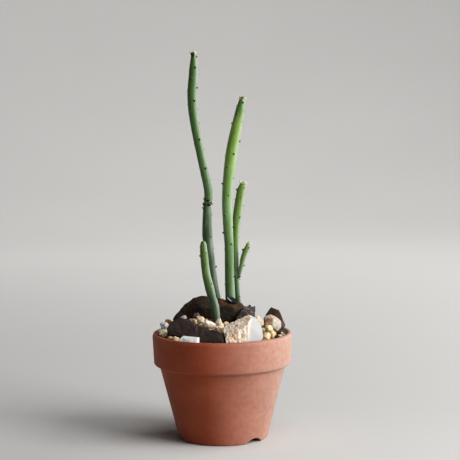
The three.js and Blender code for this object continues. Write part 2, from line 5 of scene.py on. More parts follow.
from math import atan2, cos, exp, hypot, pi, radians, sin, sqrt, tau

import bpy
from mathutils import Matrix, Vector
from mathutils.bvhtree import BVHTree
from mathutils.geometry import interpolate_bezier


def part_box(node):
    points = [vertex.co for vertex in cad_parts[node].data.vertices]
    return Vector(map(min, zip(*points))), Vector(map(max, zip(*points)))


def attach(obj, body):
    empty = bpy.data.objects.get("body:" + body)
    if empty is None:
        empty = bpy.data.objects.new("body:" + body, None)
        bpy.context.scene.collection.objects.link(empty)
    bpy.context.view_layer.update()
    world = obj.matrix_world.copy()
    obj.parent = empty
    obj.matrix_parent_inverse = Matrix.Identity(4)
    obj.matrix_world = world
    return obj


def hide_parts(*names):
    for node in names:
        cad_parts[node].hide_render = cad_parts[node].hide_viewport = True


bl_info = {
    "name": "Potted Stick Euphorbia",
    "version": (1, 0, 0),
    "blender": (4, 5, 0),
    "location": "3D View > Sidebar > Euphorbia",
    "description": "Builds a clay pot of stick euphorbia, dressed with gravel and stones",
    "category": "Add Mesh",
}

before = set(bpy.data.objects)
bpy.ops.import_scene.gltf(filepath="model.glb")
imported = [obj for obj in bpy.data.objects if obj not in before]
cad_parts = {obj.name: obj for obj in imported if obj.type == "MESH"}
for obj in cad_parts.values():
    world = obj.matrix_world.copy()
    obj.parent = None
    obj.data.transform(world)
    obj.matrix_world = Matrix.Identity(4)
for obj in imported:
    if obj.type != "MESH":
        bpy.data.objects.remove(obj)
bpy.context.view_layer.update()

MM = 0.001
WELD = 0.005 * MM
GOLDEN_ANGLE = radians(137.5)

# Patterns and stretches of the reliefs
LUMPS = "BLENDER_ORIGINAL"
GRIT = "IMPROVED_PERLIN"
CELLS = "VORONOI_F1"
CRACKS = "VORONOI_F2_F1"
EVEN = (1, 1, 1)
FLUTED = (0.7, 0.7, 3)


# Settings


def length(name, description, millimetres):
    return bpy.props.FloatProperty(
        name=name, description=description, default=millimetres * MM, unit="LENGTH", subtype="DISTANCE")


def linear(value):
    """One channel of a screen colour, from 0 to 255, as a linear value"""
    share = value / 255
    return share / 12.92 if share < 0.04045 else ((share + 0.055) / 1.055) ** 2.4


def tint(name, description, *channels):
    default = [linear(channel) for channel in channels]
    return bpy.props.FloatVectorProperty(
        name=name, description=description, default=default, min=0, max=1, size=3, subtype="COLOR")


def strength(name, description, value):
    return bpy.props.FloatProperty(name=name, description=description, default=value, min=0)


POT_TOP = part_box("pot")[1] / MM


class PotSettings(bpy.types.PropertyGroup):
    rim_radius: length("Rim radius", "Outer radius of the rim", POT_TOP.x)
    height: length("Height", "Height of the rim above the ground", POT_TOP.z)
    rim_inner_radius: length("Rim inner radius", "Inner radius of the rim", 42.6)
    collar_bottom: length("Collar bottom", "Height of the collar's lower edge", 47.8)
    collar_bottom_radius: length("Collar radius", "Outer radius of the collar's lower edge", 44.1)
    body_top_radius: length("Body radius", "Outer radius of the body under the collar", 40.8)
    foot_radius: length("Foot radius", "Outer radius of the foot", 28.7)
    foot_ring_radius: length("Foot ring radius", "Inner radius of the foot ring", 22.8)
    foot_recess: length("Foot recess", "Height of the underside above the ground", 3.9)
    floor_top: length("Floor height", "Height of the pot's floor inside", 9)
    floor_radius: length("Floor radius", "Radius of the pot's floor inside", 25.4)
    drain_radius: length("Drain hole radius", "Radius of the hole in the floor", 7)
    notch_width: length("Notch width", "Width of each arched notch in the foot", 14.6)
    notch_height: length("Notch height", "Height of each arched notch in the foot", 3.4)
    clay: tint("Clay", "Fired clay", 155, 79, 52)
    clay_pale: tint("Pale clay", "Clay where lime and dust have dried on it", 166, 92, 65)
    clay_dark: tint("Dark clay", "Clay where it was fired darker", 145, 69, 44)
    # Painted sheen: a pale colour laid over the clay's right side, where the light falls
    painted_sheen: tint("Lime film", "Lime that dries on the clay", 200, 192, 178)


class StemSettings(bpy.types.PropertyGroup):
    ring_step: length("Ring step", "Distance between two rings of a stem's skin", 1.6)
    scar_spacing_tip: length("Scar spacing at the tip", "Distance between leaf scars near the tip", 2.2)
    scar_spacing_foot: length("Scar spacing at the foot", "Distance between leaf scars lower down", 4.4)
    scar_size: length("Scar size", "Width of a leaf scar", 1.2)
    young: tint("Young skin", "Skin near the growing tips", 126, 158, 66)
    middle: tint("Grown skin", "Skin of grown joints", 82, 118, 56)
    grown: tint("Full-grown skin", "Skin between the young and the grown joints", 122, 156, 96)
    old: tint("Old skin", "Skin of the oldest joints, under its bloom", 72, 104, 60)
    bloom: tint("Bloom", "Pale wax on the skin", 186, 202, 184)
    scar: tint("Scar", "Withered leaf base", 44, 41, 24)
    scale: tint("Scale leaf", "Dry scale leaf at a tip", 212, 214, 168)


class StoneSettings(bpy.types.PropertyGroup):
    brown: tint("Brown rock", "Large rock at the back", 63, 50, 38)
    grey: tint("Grey rock", "Rough rock behind the pale one", 82, 74, 74)
    slab: tint("Slab", "Dark slab at the front left", 62, 50, 45)
    pale: tint("Pale rock", "Cream side of the front rock", 214, 201, 184)
    white: tint("White face", "White side of the front rock", 172, 171, 170)
    purple: tint("Purple rock", "Upright rock at the right edge", 90, 73, 75)
    cream: tint("Cream", "Cream stone at the right", 188, 178, 164)
    black: tint("Black chip", "Glossy chip behind the stems' feet", 22, 22, 30)
    # Colour of the pale diagonal stripes on the black chip
    pale_stripe: tint("Vein", "Vein in the black chip", 170, 168, 186)
    ice: tint("Bluish white", "Flat chip at the front edge", 226, 230, 224)
    rust: tint("Rust", "Rust stains and specks", 140, 98, 62)


class GravelSettings(bpy.types.PropertyGroup):
    spacing: length("Spacing", "Least distance between two grains of the top layer", 4.3)
    grain: length("Grain size", "Middle half width of a grain", 2.3)
    seed: bpy.props.IntProperty(name="Seed", description="Seed of the grains' places", default=2024)
    tan: tint("Tan", "Most of the grains", 220, 198, 162)
    cream: tint("Cream", "Palest grains", 238, 228, 208)
    ochre: tint("Ochre", "Warmest grains", 176, 142, 100)
    grey: tint("Grey", "Grey grains", 138, 128, 118)
    soil: tint("Soil", "Dark potting mix between and under the grains", 44, 33, 26)


class StageSettings(bpy.types.PropertyGroup):
    floor: tint("Floor", "Plain pale floor and sweep", 196, 195, 193)
    key: strength("Key light", "Strength of the large soft light", 27)
    fill: strength("Fill light", "Strength of the light all round", 0.02)
    backdrop: strength("Backdrop light", "Strength of the light on the backdrop", 20)


class PlantSettings(bpy.types.PropertyGroup):
    pot: bpy.props.PointerProperty(type=PotSettings)
    stems: bpy.props.PointerProperty(type=StemSettings)
    stones: bpy.props.PointerProperty(type=StoneSettings)
    gravel: bpy.props.PointerProperty(type=GravelSettings)
    stage: bpy.props.PointerProperty(type=StageSettings)


# Hand tools


DRAW_FACTOR = 16807
DRAW_RANGE = 2147483647


def seeded_draws(state):
    """Random draws from 0 to 1 that repeat on every run"""
    while True:
        state = state * DRAW_FACTOR % DRAW_RANGE
        yield state / DRAW_RANGE


def enter(mode):
    bpy.ops.object.mode_set(mode=mode)


def start_piece():
    """Nothing is selected when a new primitive comes in"""
    if bpy.context.mode != "OBJECT":
        enter("OBJECT")
    bpy.ops.object.select_all(action="DESELECT")


def select_only(piece):
    start_piece()
    piece.select_set(True)
    bpy.context.view_layer.objects.active = piece


def edit_all():
    """The active piece goes into edit mode with all of it selected"""
    enter("EDIT")
    bpy.ops.mesh.select_all(action="SELECT")


def draw_out(step, size, pivot):
    """What is selected is extruded by the step and then resized about the pivot"""
    bpy.ops.mesh.extrude_region_move(TRANSFORM_OT_translate={"value": step})
    bpy.ops.transform.resize(value=size, center_override=pivot)


def break_off(side, reach):
    """All of the piece in edit mode that lies further out than the reach on that side is cut off flat"""
    bpy.ops.mesh.select_all(action="SELECT")
    bpy.ops.mesh.bisect(plane_co=side * reach, plane_no=side, use_fill=True, clear_outer=True)


def settle(name, smooth_angle=None):
    """The piece just modelled gets its name, its place goes into its mesh, and blunt edges are smoothed"""
    enter("OBJECT")
    bpy.ops.object.transform_apply(location=True, rotation=True, scale=True)
    piece = bpy.context.object
    piece.name = name
    if smooth_angle:
        bpy.ops.object.shade_smooth_by_angle(angle=radians(smooth_angle))
    return piece


def weld_skin():
    """Doubles are merged and all faces of the piece in edit mode point outwards"""
    bpy.ops.mesh.select_all(action="SELECT")
    bpy.ops.mesh.remove_doubles(threshold=WELD)
    bpy.ops.mesh.normals_make_consistent(inside=False)


def shape_with(piece, kind, **settings):
    """A modifier is added to the piece and applied"""
    select_only(piece)
    modifier = piece.modifiers.new(kind, kind)
    for key, value in settings.items():
        setattr(modifier, key, value)
    bpy.ops.object.modifier_apply(modifier=modifier.name)


def ruffle(piece, size, depth, basis=LUMPS, stretch=EVEN, middle=0.5, octaves=2, group=""):
    """The surface is raised and sunk by a cloud pattern, its lumps' size and its depth in millimetres"""
    lattice = bpy.data.objects.new("ruffle_lattice", None)
    lattice.scale = [size * MM * share for share in stretch]
    bpy.context.scene.collection.objects.link(lattice)
    bpy.context.view_layer.update()
    pattern = bpy.data.textures.new("ruffle", "CLOUDS")
    pattern.noise_scale = 1
    pattern.noise_depth = octaves
    pattern.noise_basis = basis
    shape_with(
        piece, "DISPLACE", texture=pattern, texture_coords="OBJECT", texture_coords_object=lattice,
        strength=depth * MM, mid_level=middle, vertex_group=group)
    bpy.data.objects.remove(lattice)
    bpy.data.textures.remove(pattern)


def copy_of(master, name, matrix):
    """A copy with a mesh of its own, put in place by the matrix"""
    piece = bpy.data.objects.new(name, master.data.copy())
    piece.data.transform(matrix)
    bpy.context.scene.collection.objects.link(piece)
    return piece


def from_node(node, name):
    """A copy of the node's solid with its doubles merged, left in edit mode"""
    piece = copy_of(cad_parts[node], name, Matrix.Identity(4))
    select_only(piece)
    enter("EDIT")
    weld_skin()
    return piece


def mark(piece, name, values):
    """An attribute with a value for each point, which a surface reads"""
    piece.data.attributes.new(name, "FLOAT", "POINT").data.foreach_set("value", values)


def join_pieces(pieces):
    select_only(pieces[0])
    for piece in pieces:
        piece.select_set(True)
    bpy.ops.object.join()
    return bpy.context.object


def discard(piece):
    bpy.data.objects.remove(piece)


def wear(piece, *surfaces):
    """The surfaces take the place of those that the piece has"""
    piece.data.materials.clear()
    for surface in surfaces:
        piece.data.materials.append(surface)


def hand_over(piece, node, slot, *surfaces):
    """The finished piece stands for its CAD node, rides on the one body and gets its surfaces"""
    if surfaces:
        wear(piece, *surfaces)
    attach(piece, "root")
    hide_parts(node)


def smooth_line(points, step):
    """Points about a step apart on a smooth curve through the given ones"""
    line = []
    last = len(points) - 1
    for i in range(last):
        start, end = points[i], points[i + 1]
        reach = (end - start).length / 3
        leaving = (end - points[max(i - 1, 0)]).normalized() * reach
        arriving = (points[min(i + 2, last)] - start).normalized() * reach
        count = max(2, round(3 * reach / step) + 1)
        line += interpolate_bezier(start, start + leaving, end - arriving, end, count)[:-1]
    return line + [points[last]]


# Surfaces


# A patch's raggedness and the half width of its soft edge, as shares of its reach
PATCH_WOBBLE = 0.8
PATCH_EDGE = 0.175


class Surface:
    """A node material that is built up one node at a time, with its patterns' sizes in millimetres"""

    def __init__(self, name, roughness, specular=0.3):
        self.material = bpy.data.materials.new(name)
        self.material.use_nodes = True
        self.tree = self.material.node_tree
        self.shader = self.tree.nodes["Principled BSDF"]
        self.wire(self.shader, {"Specular IOR Level": specular, "Roughness": roughness})
        self.place = self.add("ShaderNodeTexCoord").outputs["Object"]

    def wire(self, node, inputs):
        """Each input gets a value, or a link where the value is another node's output"""
        for key, value in inputs.items():
            socket = node.inputs[key]
            if isinstance(value, bpy.types.NodeSocket):
                self.tree.links.new(value, socket)
            else:
                socket.default_value = (*value, 1) if socket.type == "RGBA" else value
        return node

    def add(self, kind, inputs=(), **settings):
        node = self.tree.nodes.new(kind)
        for key, value in settings.items():
            setattr(node, key, value)
        return self.wire(node, dict(inputs))

    def moved(self, offset=(0, 0, 0), stretch=(1, 1, 1), turn=(0, 0, 0)):
        """Object coordinates, shifted and stretched"""
        scale = [1 / share for share in stretch]
        inputs = {"Vector": self.place, "Location": offset, "Rotation": turn, "Scale": scale}
        return self.add("ShaderNodeMapping", inputs).outputs["Vector"]

    def axis(self, name, vector=None):
        """One object coordinate, or one part of another vector"""
        return self.add("ShaderNodeSeparateXYZ", {"Vector": vector or self.place}).outputs[name]

    def noise(self, size, detail=3, roughness=0.5, **place):
        inputs = {"Scale": 1 / (size * MM), "Detail": detail, "Roughness": roughness}
        return self.add("ShaderNodeTexNoise", inputs | {"Vector": self.moved(**place)}).outputs["Fac"]

    def cells(self, size, **place):
        inputs = {"Vector": self.moved(**place), "Scale": 1 / (size * MM)}
        return self.add("ShaderNodeTexVoronoi", inputs).outputs["Distance"]

    def fade(self, factor, low, high, start=0.0, end=1.0):
        """The factor stretched so that low becomes start and high becomes end"""
        inputs = {"Value": factor, "From Min": low, "From Max": high, "To Min": start, "To Max": end}
        return self.add("ShaderNodeMapRange", inputs).outputs["Result"]

    def math(self, operation, first, second):
        return self.add("ShaderNodeMath", {0: first, 1: second}, operation=operation).outputs["Value"]

    def plus(self, first, second):
        return self.math("ADD", first, second)

    def times(self, first, second):
        return self.math("MULTIPLY", first, second)

    def swing(self, pattern, size):
        """The pattern about its middle, with the given size"""
        return self.times(self.math("SUBTRACT", pattern, 0.5), size)

    def ramp(self, factor, stops):
        node = self.add("ShaderNodeValToRGB", {"Fac": factor})
        elements = node.color_ramp.elements
        while len(elements) < len(stops):
            elements.new(0.5)
        for element, (position, color) in zip(elements, stops):
            element.position = position
            element.color = (*color, 1)
        return node.outputs["Color"]

    def mix(self, factor, first, second):
        return self.add("ShaderNodeMix", {0: factor, 6: first, 7: second}, data_type="RGBA").outputs[2]

    def cover(self, color, other, pattern, low, high, most, least=0.0):
        """The other colour lies over the first, by the least share at low and by the most at high"""
        return self.mix(self.fade(pattern, low, high, least, most), color, other)

    def patch(self, centre, reach):
        """1 within the reach of a place, 0 past it, with a ragged edge"""
        middle = [value * MM for value in centre]
        gap = self.add("ShaderNodeVectorMath", {0: self.place, 1: middle}, operation="DISTANCE")
        gap = self.math("DIVIDE", gap.outputs["Value"], reach * MM)
        ragged = self.swing(self.noise(reach / 2, detail=4, offset=centre), PATCH_WOBBLE)
        return self.fade(self.plus(gap, ragged), 1 + PATCH_EDGE, 1 - PATCH_EDGE)

    def dust(self, weight, roughness):
        """A whitish film that shows where light and sight graze the surface"""
        film = {"Sheen Weight": weight, "Sheen Roughness": roughness, "Sheen Tint": (1, 0.98, 0.95)}
        self.wire(self.shader, film)

    def finish(self, color, heights, roughness=None):
        """Colour, the bumps as (height, depth) pairs and a varied roughness go to the shader"""
        inputs = {"Base Color": color}
        bump = {"Strength": 1.0}
        for height, depth in heights:
            bump.update(Height=height, Distance=depth * MM)
            bump["Normal"] = inputs["Normal"] = self.add("ShaderNodeBump", bump).outputs["Normal"]
        if roughness is not None:
            inputs["Roughness"] = roughness
        self.wire(self.shader, inputs)
        return self.material


def darker(color, share):
    return tuple(channel * share for channel in color)


# Painted sheen on the clay: where it starts along x, and the largest share it reaches at the rim's right edge
PAINTED_SHEEN_START = -10 * MM
PAINTED_SHEEN_MOST = 0.44


def clay_surface(pot):
    """Unglazed fired clay: faint turning lines, pores, a painted sheen that grows towards the lit right side,
    and a darker rim top
    """
    surface = Surface("fired_clay", 0.85)
    clouds = surface.noise(26, detail=5, roughness=0.6, stretch=(1, 1, 0.7))
    color = surface.ramp(clouds, [(0.3, pot.clay_dark), (0.5, pot.clay), (0.72, pot.clay_pale)])
    mottle = surface.noise(3, detail=6, roughness=0.65)
    color = surface.cover(color, pot.clay_pale, mottle, 0.35, 0.75, 0.25)
    color = surface.cover(color, darker(pot.clay_dark, 0.6), surface.cells(0.9), 0.16, 0.06, 0.35)
    # Painted sheen: a pale film that grows towards +x stands in for the whitish sheen where the light falls
    # on the right side
    film = surface.fade(surface.axis("X"), PAINTED_SHEEN_START, pot.rim_radius, 0.0, PAINTED_SHEEN_MOST)
    film = surface.times(film, surface.fade(mottle, 0.3, 0.7, 0.75, 1.25))
    color = surface.mix(film, color, pot.painted_sheen)
    # The top half millimetre of the rim is darker than the rest of the clay
    overlay_color = darker(pot.clay_dark, 0.5)
    color = surface.cover(color, overlay_color, surface.axis("Z"), pot.height - 0.5 * MM, pot.height, 0.4)
    turning = surface.noise(1.4, stretch=(40, 40, 1))
    grain = surface.noise(0.35, detail=4, roughness=0.7)
    surface.dust(0.22, 0.4)
    rough = surface.fade(clouds, 0.3, 0.7, 0.78, 0.95)
    return surface.finish(color, [(turning, 0.05), (mottle, 0.1), (grain, 0.06)], rough)


def net_surface():
    """Dark moulded net, dusted with soil"""
    surface = Surface("moulded_net", 0.55)
    dust = surface.noise(2, detail=5)
    color = surface.ramp(dust, [(0.45, (0.012, 0.02, 0.016)), (0.7, (0.06, 0.045, 0.03))])
    return surface.finish(color, [(surface.noise(0.3), 0.05)], surface.fade(dust, 0.3, 0.7, 0.45, 0.85))


def soil_surface(gravel):
    """Dark crumbly potting mix with paler crumbs"""
    surface = Surface("potting_mix", 0.95, 0.15)
    crumbs = surface.noise(1.6, detail=7, roughness=0.7)
    soil = gravel.soil
    color = surface.ramp(crumbs, [(0.35, darker(soil, 0.4)), (0.55, soil), (0.8, darker(soil, 2.4))])
    color = surface.cover(color, darker(gravel.tan, 0.55), surface.cells(1.3), 0.2, 0.1, 0.6)
    return surface.finish(color, [(crumbs, 0.8), (surface.noise(0.4, detail=5), 0.25)])


def stem_surface(name, stops, settings):
    """Waxy green skin: its colour changes with height, partly as painted shade, with fine streaks, a worn
    pale bloom, and a highlight painted in the bloom's colour on the side that faces right
    """
    surface = Surface(name, 0.42, 0.5)
    low, high = stops[0][0], stops[-1][0]
    height = surface.plus(surface.axis("Z"), surface.times(surface.noise(6), 6 * MM))
    along = surface.fade(height, (low + 3) * MM, (high + 3) * MM)
    color = surface.ramp(along, [((z - low) / (high - low), shade) for z, shade in stops])
    streaks = surface.noise(0.9, detail=4, roughness=0.6, stretch=(1, 1, 9))
    color = surface.cover(color, darker(settings.middle, 0.45), streaks, 0.35, 0.7, 0.35)
    bloom = surface.noise(5, detail=6, roughness=0.62, stretch=(1, 1, 3))
    bloom_and_highlight = surface.times(surface.fade(bloom, 0.4, 0.7, 0.0, 0.16), surface.fade(along, 0.45, 1.0, 1.0, 0.2))
    color = surface.mix(bloom_and_highlight, color, settings.bloom)
    # Painted highlight: the bloom's colour is laid on the side that faces right, where the light falls
    sunny = surface.add("ShaderNodeAttribute", attribute_name="sunny").outputs["Fac"]
    bloom_and_highlight = surface.times(surface.fade(sunny, 0.3, 0.95, 0.0, 0.42), surface.fade(bloom, 0.3, 0.6, 0.6, 1.0))
    color = surface.mix(bloom_and_highlight, color, settings.bloom)
    pits = surface.cells(0.55, stretch=(1, 1, 2))
    surface.dust(1.0, 0.28)
    depth = {"Subsurface Weight": 0.08, "Subsurface Radius": (0.4, 1, 0.2), "Subsurface Scale": 1.5 * MM}
    surface.wire(surface.shader, depth)
    return surface.finish(color, [(streaks, 0.1), (pits, 0.03)], surface.fade(bloom, 0.35, 0.7, 0.32, 0.48))


def scar_surface(name, color):
    """Withered tissue"""
    surface = Surface(name, 0.75)
    fibres = surface.noise(0.4, detail=4)
    return surface.finish(surface.ramp(fibres, [(0.3, darker(color, 0.65)), (0.6, color)]), [(fibres, 0.1)])


def stone_shades(surface, color, other, mottle, specks, offset, stretch=(1, 1, 1), grit=0.5):
    """Two mottled colours with specks, and the broad and fine patterns of the relief"""
    place = {"offset": offset, "stretch": stretch}
    broad = surface.noise(mottle, detail=6, roughness=0.62, **place)
    shade = surface.ramp(broad, [(0.34, other), (0.58, color)])
    fine = surface.noise(mottle / 7, detail=6, roughness=0.72, **place)
    shade = surface.cover(shade, darker(other, 0.45), fine, 0.5, 0.25, grit)
    shade = surface.cover(shade, darker(color, 1.4), fine, 0.55, 0.8, 0.4)
    for size, amount, speck_color in specks:
        dots = surface.fade(surface.cells(size, **place), amount + 0.1, amount - 0.05)
        clusters = surface.fade(surface.noise(size * 3, offset=offset), 0.42, 0.6)
        shade = surface.mix(surface.times(dots, clusters), shade, speck_color)
    return shade, broad, fine


def stone_surface(name, color, other, mottle, seed, patches=(), specks=(), roughness=0.8, relief=0.25,
                  specular=0.3):
    """Broken or water-worn stone: mottled, specked by (size, amount, colour), with ragged patches"""
    surface = Surface(name, roughness, specular)
    shade, broad, fine = stone_shades(surface, color, other, mottle, specks, (seed, 2 * seed, 3 * seed))
    for centre, reach, patch_color in patches:
        grained = surface.cover(patch_color, other, fine, 0.35, 0.65, 0.0, 0.35)
        shade = surface.mix(surface.patch(centre, reach), shade, grained)
    rough = surface.fade(fine, 0.3, 0.7, roughness - 0.08, roughness + 0.1)
    return surface.finish(shade, [(broad, 0.6 * relief), (fine, relief)], rough)


# The clay pot


NOTCH_ANGLES = (44, 164, -76)
POT_SIDES = 144
EDGE_WEAR = 0.9 * MM


def rounded_outline(corners, steps=5):
    """The outline with every (radius, height, rounding) corner turned into a short curve"""
    outline = []
    for i, (radius, height, rounding) in enumerate(corners):
        corner = Vector((radius, height))
        back = (Vector(corners[i - 1][:2]) - corner).normalized() * rounding
        onward = (Vector(corners[(i + 1) % len(corners)][:2]) - corner).normalized() * rounding
        for k in range(steps + 1):
            share = k / steps
            outline.append(corner + back * (1 - share) ** 2 + onward * share ** 2)
    return outline


def turn_on_wheel(name, outline, sides, closed=True):
    """A wall drawn ring by ring along the outline"""
    start = outline[0]
    start_piece()
    bpy.ops.mesh.primitive_circle_add(vertices=sides, radius=start.x, location=(0, 0, start.y))
    edit_all()
    for lower, upper in zip(outline, outline[1:] + outline[:int(closed)]):
        size = upper.x / lower.x
        draw_out((0, 0, upper.y - lower.y), (size, size, 1), (0, 0, upper.y))
    weld_skin()
    return settle(name, 40)


def pot_outline(pot):
    """The pot's section, anticlockwise from the drain hole's lower edge"""
    return rounded_outline([
        (pot.drain_radius, pot.foot_recess, 0.5 * MM),
        (pot.foot_ring_radius, pot.foot_recess, 0.8 * MM),
        (pot.foot_ring_radius + 0.5 * MM, 0, 0.6 * MM),
        (pot.foot_radius - 0.1 * MM, 0, 1.3 * MM),
        (pot.body_top_radius, pot.collar_bottom + 0.4 * MM, 0.5 * MM),
        (pot.collar_bottom_radius - 0.05 * MM, pot.collar_bottom - 0.1 * MM, 1.9 * MM),
        (pot.rim_radius, pot.height - 1.4 * MM, 1.5 * MM),
        (pot.rim_radius - 1.1 * MM, pot.height, 0.6 * MM),
        (pot.rim_inner_radius, pot.height, 0.5 * MM),
        (pot.floor_radius, pot.floor_top, 2.6 * MM),
        (pot.drain_radius, pot.floor_top, 0.6 * MM),
    ])


def cut_notch(piece, pot, degrees):
    """A lying cylinder's upper arc cuts the arch of one notch"""
    arc_radius = ((pot.notch_width / 2) ** 2 + pot.notch_height ** 2) / (2 * pot.notch_height)
    middle = (pot.foot_radius + pot.foot_ring_radius) / 2
    angle = radians(degrees)
    place = (middle * sin(angle), -middle * cos(angle), pot.notch_height - arc_radius)
    start_piece()
    bpy.ops.mesh.primitive_cylinder_add(
        vertices=96, radius=arc_radius, depth=12 * MM, location=place, rotation=(pi / 2, 0, angle))
    cutter = bpy.context.object
    shape_with(piece, "BOOLEAN", operation="DIFFERENCE", solver="EXACT", object=cutter)
    discard(cutter)


class EUPHORBIA_OT_add_pot(bpy.types.Operator):
    """Turn the clay pot with its collar, drain hole and foot notches"""
    bl_idname = "euphorbia.add_pot"
    bl_label = "Clay Pot"

    def execute(self, context):
        pot = context.scene.euphorbia.pot
        piece = turn_on_wheel("clay_pot", pot_outline(pot), POT_SIDES)
        for degrees in NOTCH_ANGLES:
            cut_notch(piece, pot, degrees)
        shape_with(piece, "BEVEL", width=EDGE_WEAR, segments=3, limit_method="ANGLE",
                   angle_limit=radians(50), use_clamp_overlap=True)
        bpy.ops.object.shade_smooth_by_angle(angle=radians(40))
        hand_over(piece, "pot", "terracotta", clay_surface(pot))
        return {"FINISHED"}


# The filling under the gravel


class EUPHORBIA_OT_add_filling(bpy.types.Operator):
    """Crumble the potting mix and finish the net over the drain hole"""
    bl_idname = "euphorbia.add_filling"
    bl_label = "Soil and Drain Net"

    def execute(self, context):
        mix = from_node("soil", "potting_mix")
        enter("OBJECT")
        shape_with(mix, "REMESH", mode="VOXEL", voxel_size=1.1 * MM)
        ruffle(mix, 2.2, 0.5, middle=0.95, octaves=3)
        bpy.ops.object.shade_smooth()
        hand_over(mix, "soil", "potting_soil", soil_surface(context.scene.euphorbia.gravel))
        wear(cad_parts["drain_net"], net_surface())
        return {"FINISHED"}


# The stems


# Stations (x, y, z, diameter) in millimetres, from the tip down, and the skin as (height, shade, its share).
# Each tip has a number of scale leaves, their size, the first one's turn in degrees, and a dark bud with its
# half width, half height and offset.
# The skin's shares are partly painted shade: they darken the whole short stem, which stands in front in the
# fullest light, and the tall left stem below its joint, where the short stem shades it.
STEMS = {
    "stem_tall_left": {
        "stations": [
            (-16.7, 5, 247.2, 2.5), (-16.5, 5, 244.2, 3.6), (-16.6, 5.5, 238.7, 5.3),
            (-17.8, 6.5, 220.3, 6.2), (-17.0, 7.5, 206.3, 5.8), (-13.5, 9, 185.7, 5.3),
            (-8.5, 11, 161.1, 5.5), (-8.0, 11.5, 155.2, 5.7), (-8.5, 12, 151.0, 5.5),
            (-8.8, 12, 149.4, 4.6), (-9.0, 12.2, 147.8, 5.4), (-9.1, 13, 130.4, 6.7),
            (-8.2, 13.5, 119.9, 6.4), (-5.4, 16, 95.4, 6.1), (-3.8, 17, 86.7, 6.1), (-2.2, 17, 74, 5.6),
            (-2, 17, 40, 4.6),
        ],
        "seed": 11, "turn": 0.4, "joint": 150.4, "slot": "stem_blue_green",
        "tips": [(7, 1.5, 12, 1.35, 1.7, (-0.3, -1.25, -1.1))],
        "skin": [(60, "old", 0.3), (116, "old", 0.32), (147, "old", 0.8), (152, "middle", 0.8),
                 (248, "middle", 0.68)],
    },
    "stem_short_left": {
        "stations": [
            (-11.4, -6, 127.2, 2.6), (-11.4, -6, 125.6, 4.1), (-11.2, -6, 120.5, 4.9),
            (-9.8, -5.5, 106.5, 5.3), (-7.9, -5, 98.0, 5.8), (-6.7, -4.5, 92.8, 5.6),
            (-6.3, -4.5, 91.2, 4.9), (-5.8, -4, 89.4, 5.7), (-4.9, -4, 85.6, 6.1), (-4.0, -4, 80.4, 5.3),
            (-3.4, -4, 74, 4.8), (-3.2, -4, 40, 4.0),
        ],
        "seed": 23, "turn": 2.6, "slot": "stem_yellow_green",
        "tips": [(0, 0, 0, 0.8, 0.9, (-0.75, -1.0, -0.5))],
        "skin": [(70, "old", 0.36), (91, "old", 0.38), (95, "middle", 0.48), (108, "young", 0.48),
                 (128, "young", 0.48)],
    },
    "stem_tall_middle": {
        "stations": [
            (14.3, 9, 218.2, 2.9), (13.9, 9, 216.0, 3.9), (12.9, 9, 211.1, 5.6), (8.9, 10, 192.6, 7.3),
            (6.6, 10.5, 180.3, 7.5), (4.0, 11.5, 155.1, 6.7), (4.4, 12.5, 134.2, 6.5),
            (4.9, 13, 123.1, 5.9), (5.1, 14, 100.0, 6.2), (5.4, 14, 89.5, 6.6), (5.8, 14, 74, 6.0),
            (6, 14, 40, 4.8),
        ],
        "seed": 37, "turn": 1.1, "slot": "stem_yellow_green",
        "tips": [(8, 1.6, -8, 1.2, 0.8, (0.1, -1.6, 0.1))],
        "skin": [(70, "old", 0.68), (110, "middle", 0.9), (150, "grown", 0.98), (180, "young", 0.98),
                 (203, "young", 0.95), (212, "middle", 0.95), (219, "middle", 0.95)],
    },
    "stem_thin_right": {
        "stations": [
            (14.6, 17, 163.4, 2.9), (14.2, 17, 161.9, 4.1), (12.9, 17, 158.2, 5.3),
            (10.7, 17.5, 143.5, 5.8), (9.5, 18, 133.7, 5.4), (9.0, 18, 121, 4.0), (9.3, 18, 112.5, 3.7),
            (9.4, 18, 103.4, 3.7), (9.5, 18, 101.5, 3.2), (9.6, 18, 99.4, 3.8), (10.0, 18, 91.5, 3.8),
            (10.8, 18.2, 82, 4.0), (11.4, 18.5, 40, 3.4),
        ],
        "branch": [
            (17.5, 14, 124.4, 1.8), (16.9, 14, 122.4, 3.2), (15.9, 14.3, 119.4, 4.0),
            (14.3, 15, 114.9, 3.9), (12.6, 15.9, 107.5, 3.0), (11.6, 16.7, 103.4, 2.4),
            (9.9, 17.8, 99.8, 2.2),
        ],
        "seed": 51, "turn": 0.9, "slot": "stem_yellow_green",
        "tips": [(6, 1.5, -12, 1.5, 0.8, (0, -0.4, -1.1)), (6, 1.1, -12, 0.5, 0.4, (0, 0, 0.1))],
        "skin": [(70, "old", 0.75), (100, "old", 0.75), (104, "grown", 0.7), (130, "young", 0.66),
                 (165, "young", 0.66)],
    },
}
STEM_SIDES = 32
# Rise and width of the rings over a tip, as shares of its radius
TIP_DOME = ((0.22, 0.85), (0.36, 0.6), (0.42, 0.3))
HUMP_FORM = (0.62, 1.0, 0.42)
BARK_HEIGHT = 78.8 * MM
SCAR_FIRST = 3 * MM
SCAR_CROWDED_LENGTH = 90 * MM
SCAR_JITTER = 0.5
TIP_LEAF_RISE = 0.7
TUFT_BELOW_TIP = 0.9 * MM
JOINT_CRUSTS = 26
JOINT_SPREAD = 1.9 * MM


class Ring:
    """One round of a stem's skin: its centre, radius and the directions across and along it"""

    def __init__(self, centre, radius, along):
        self.centre = centre
        self.radius = radius
        self.along = along
        self.side = (Vector((1, 0, 0)) - along * along.x).normalized()
        self.front = self.side.cross(along)

    def outward(self, angle):
        return self.side * cos(angle) + self.front * sin(angle)


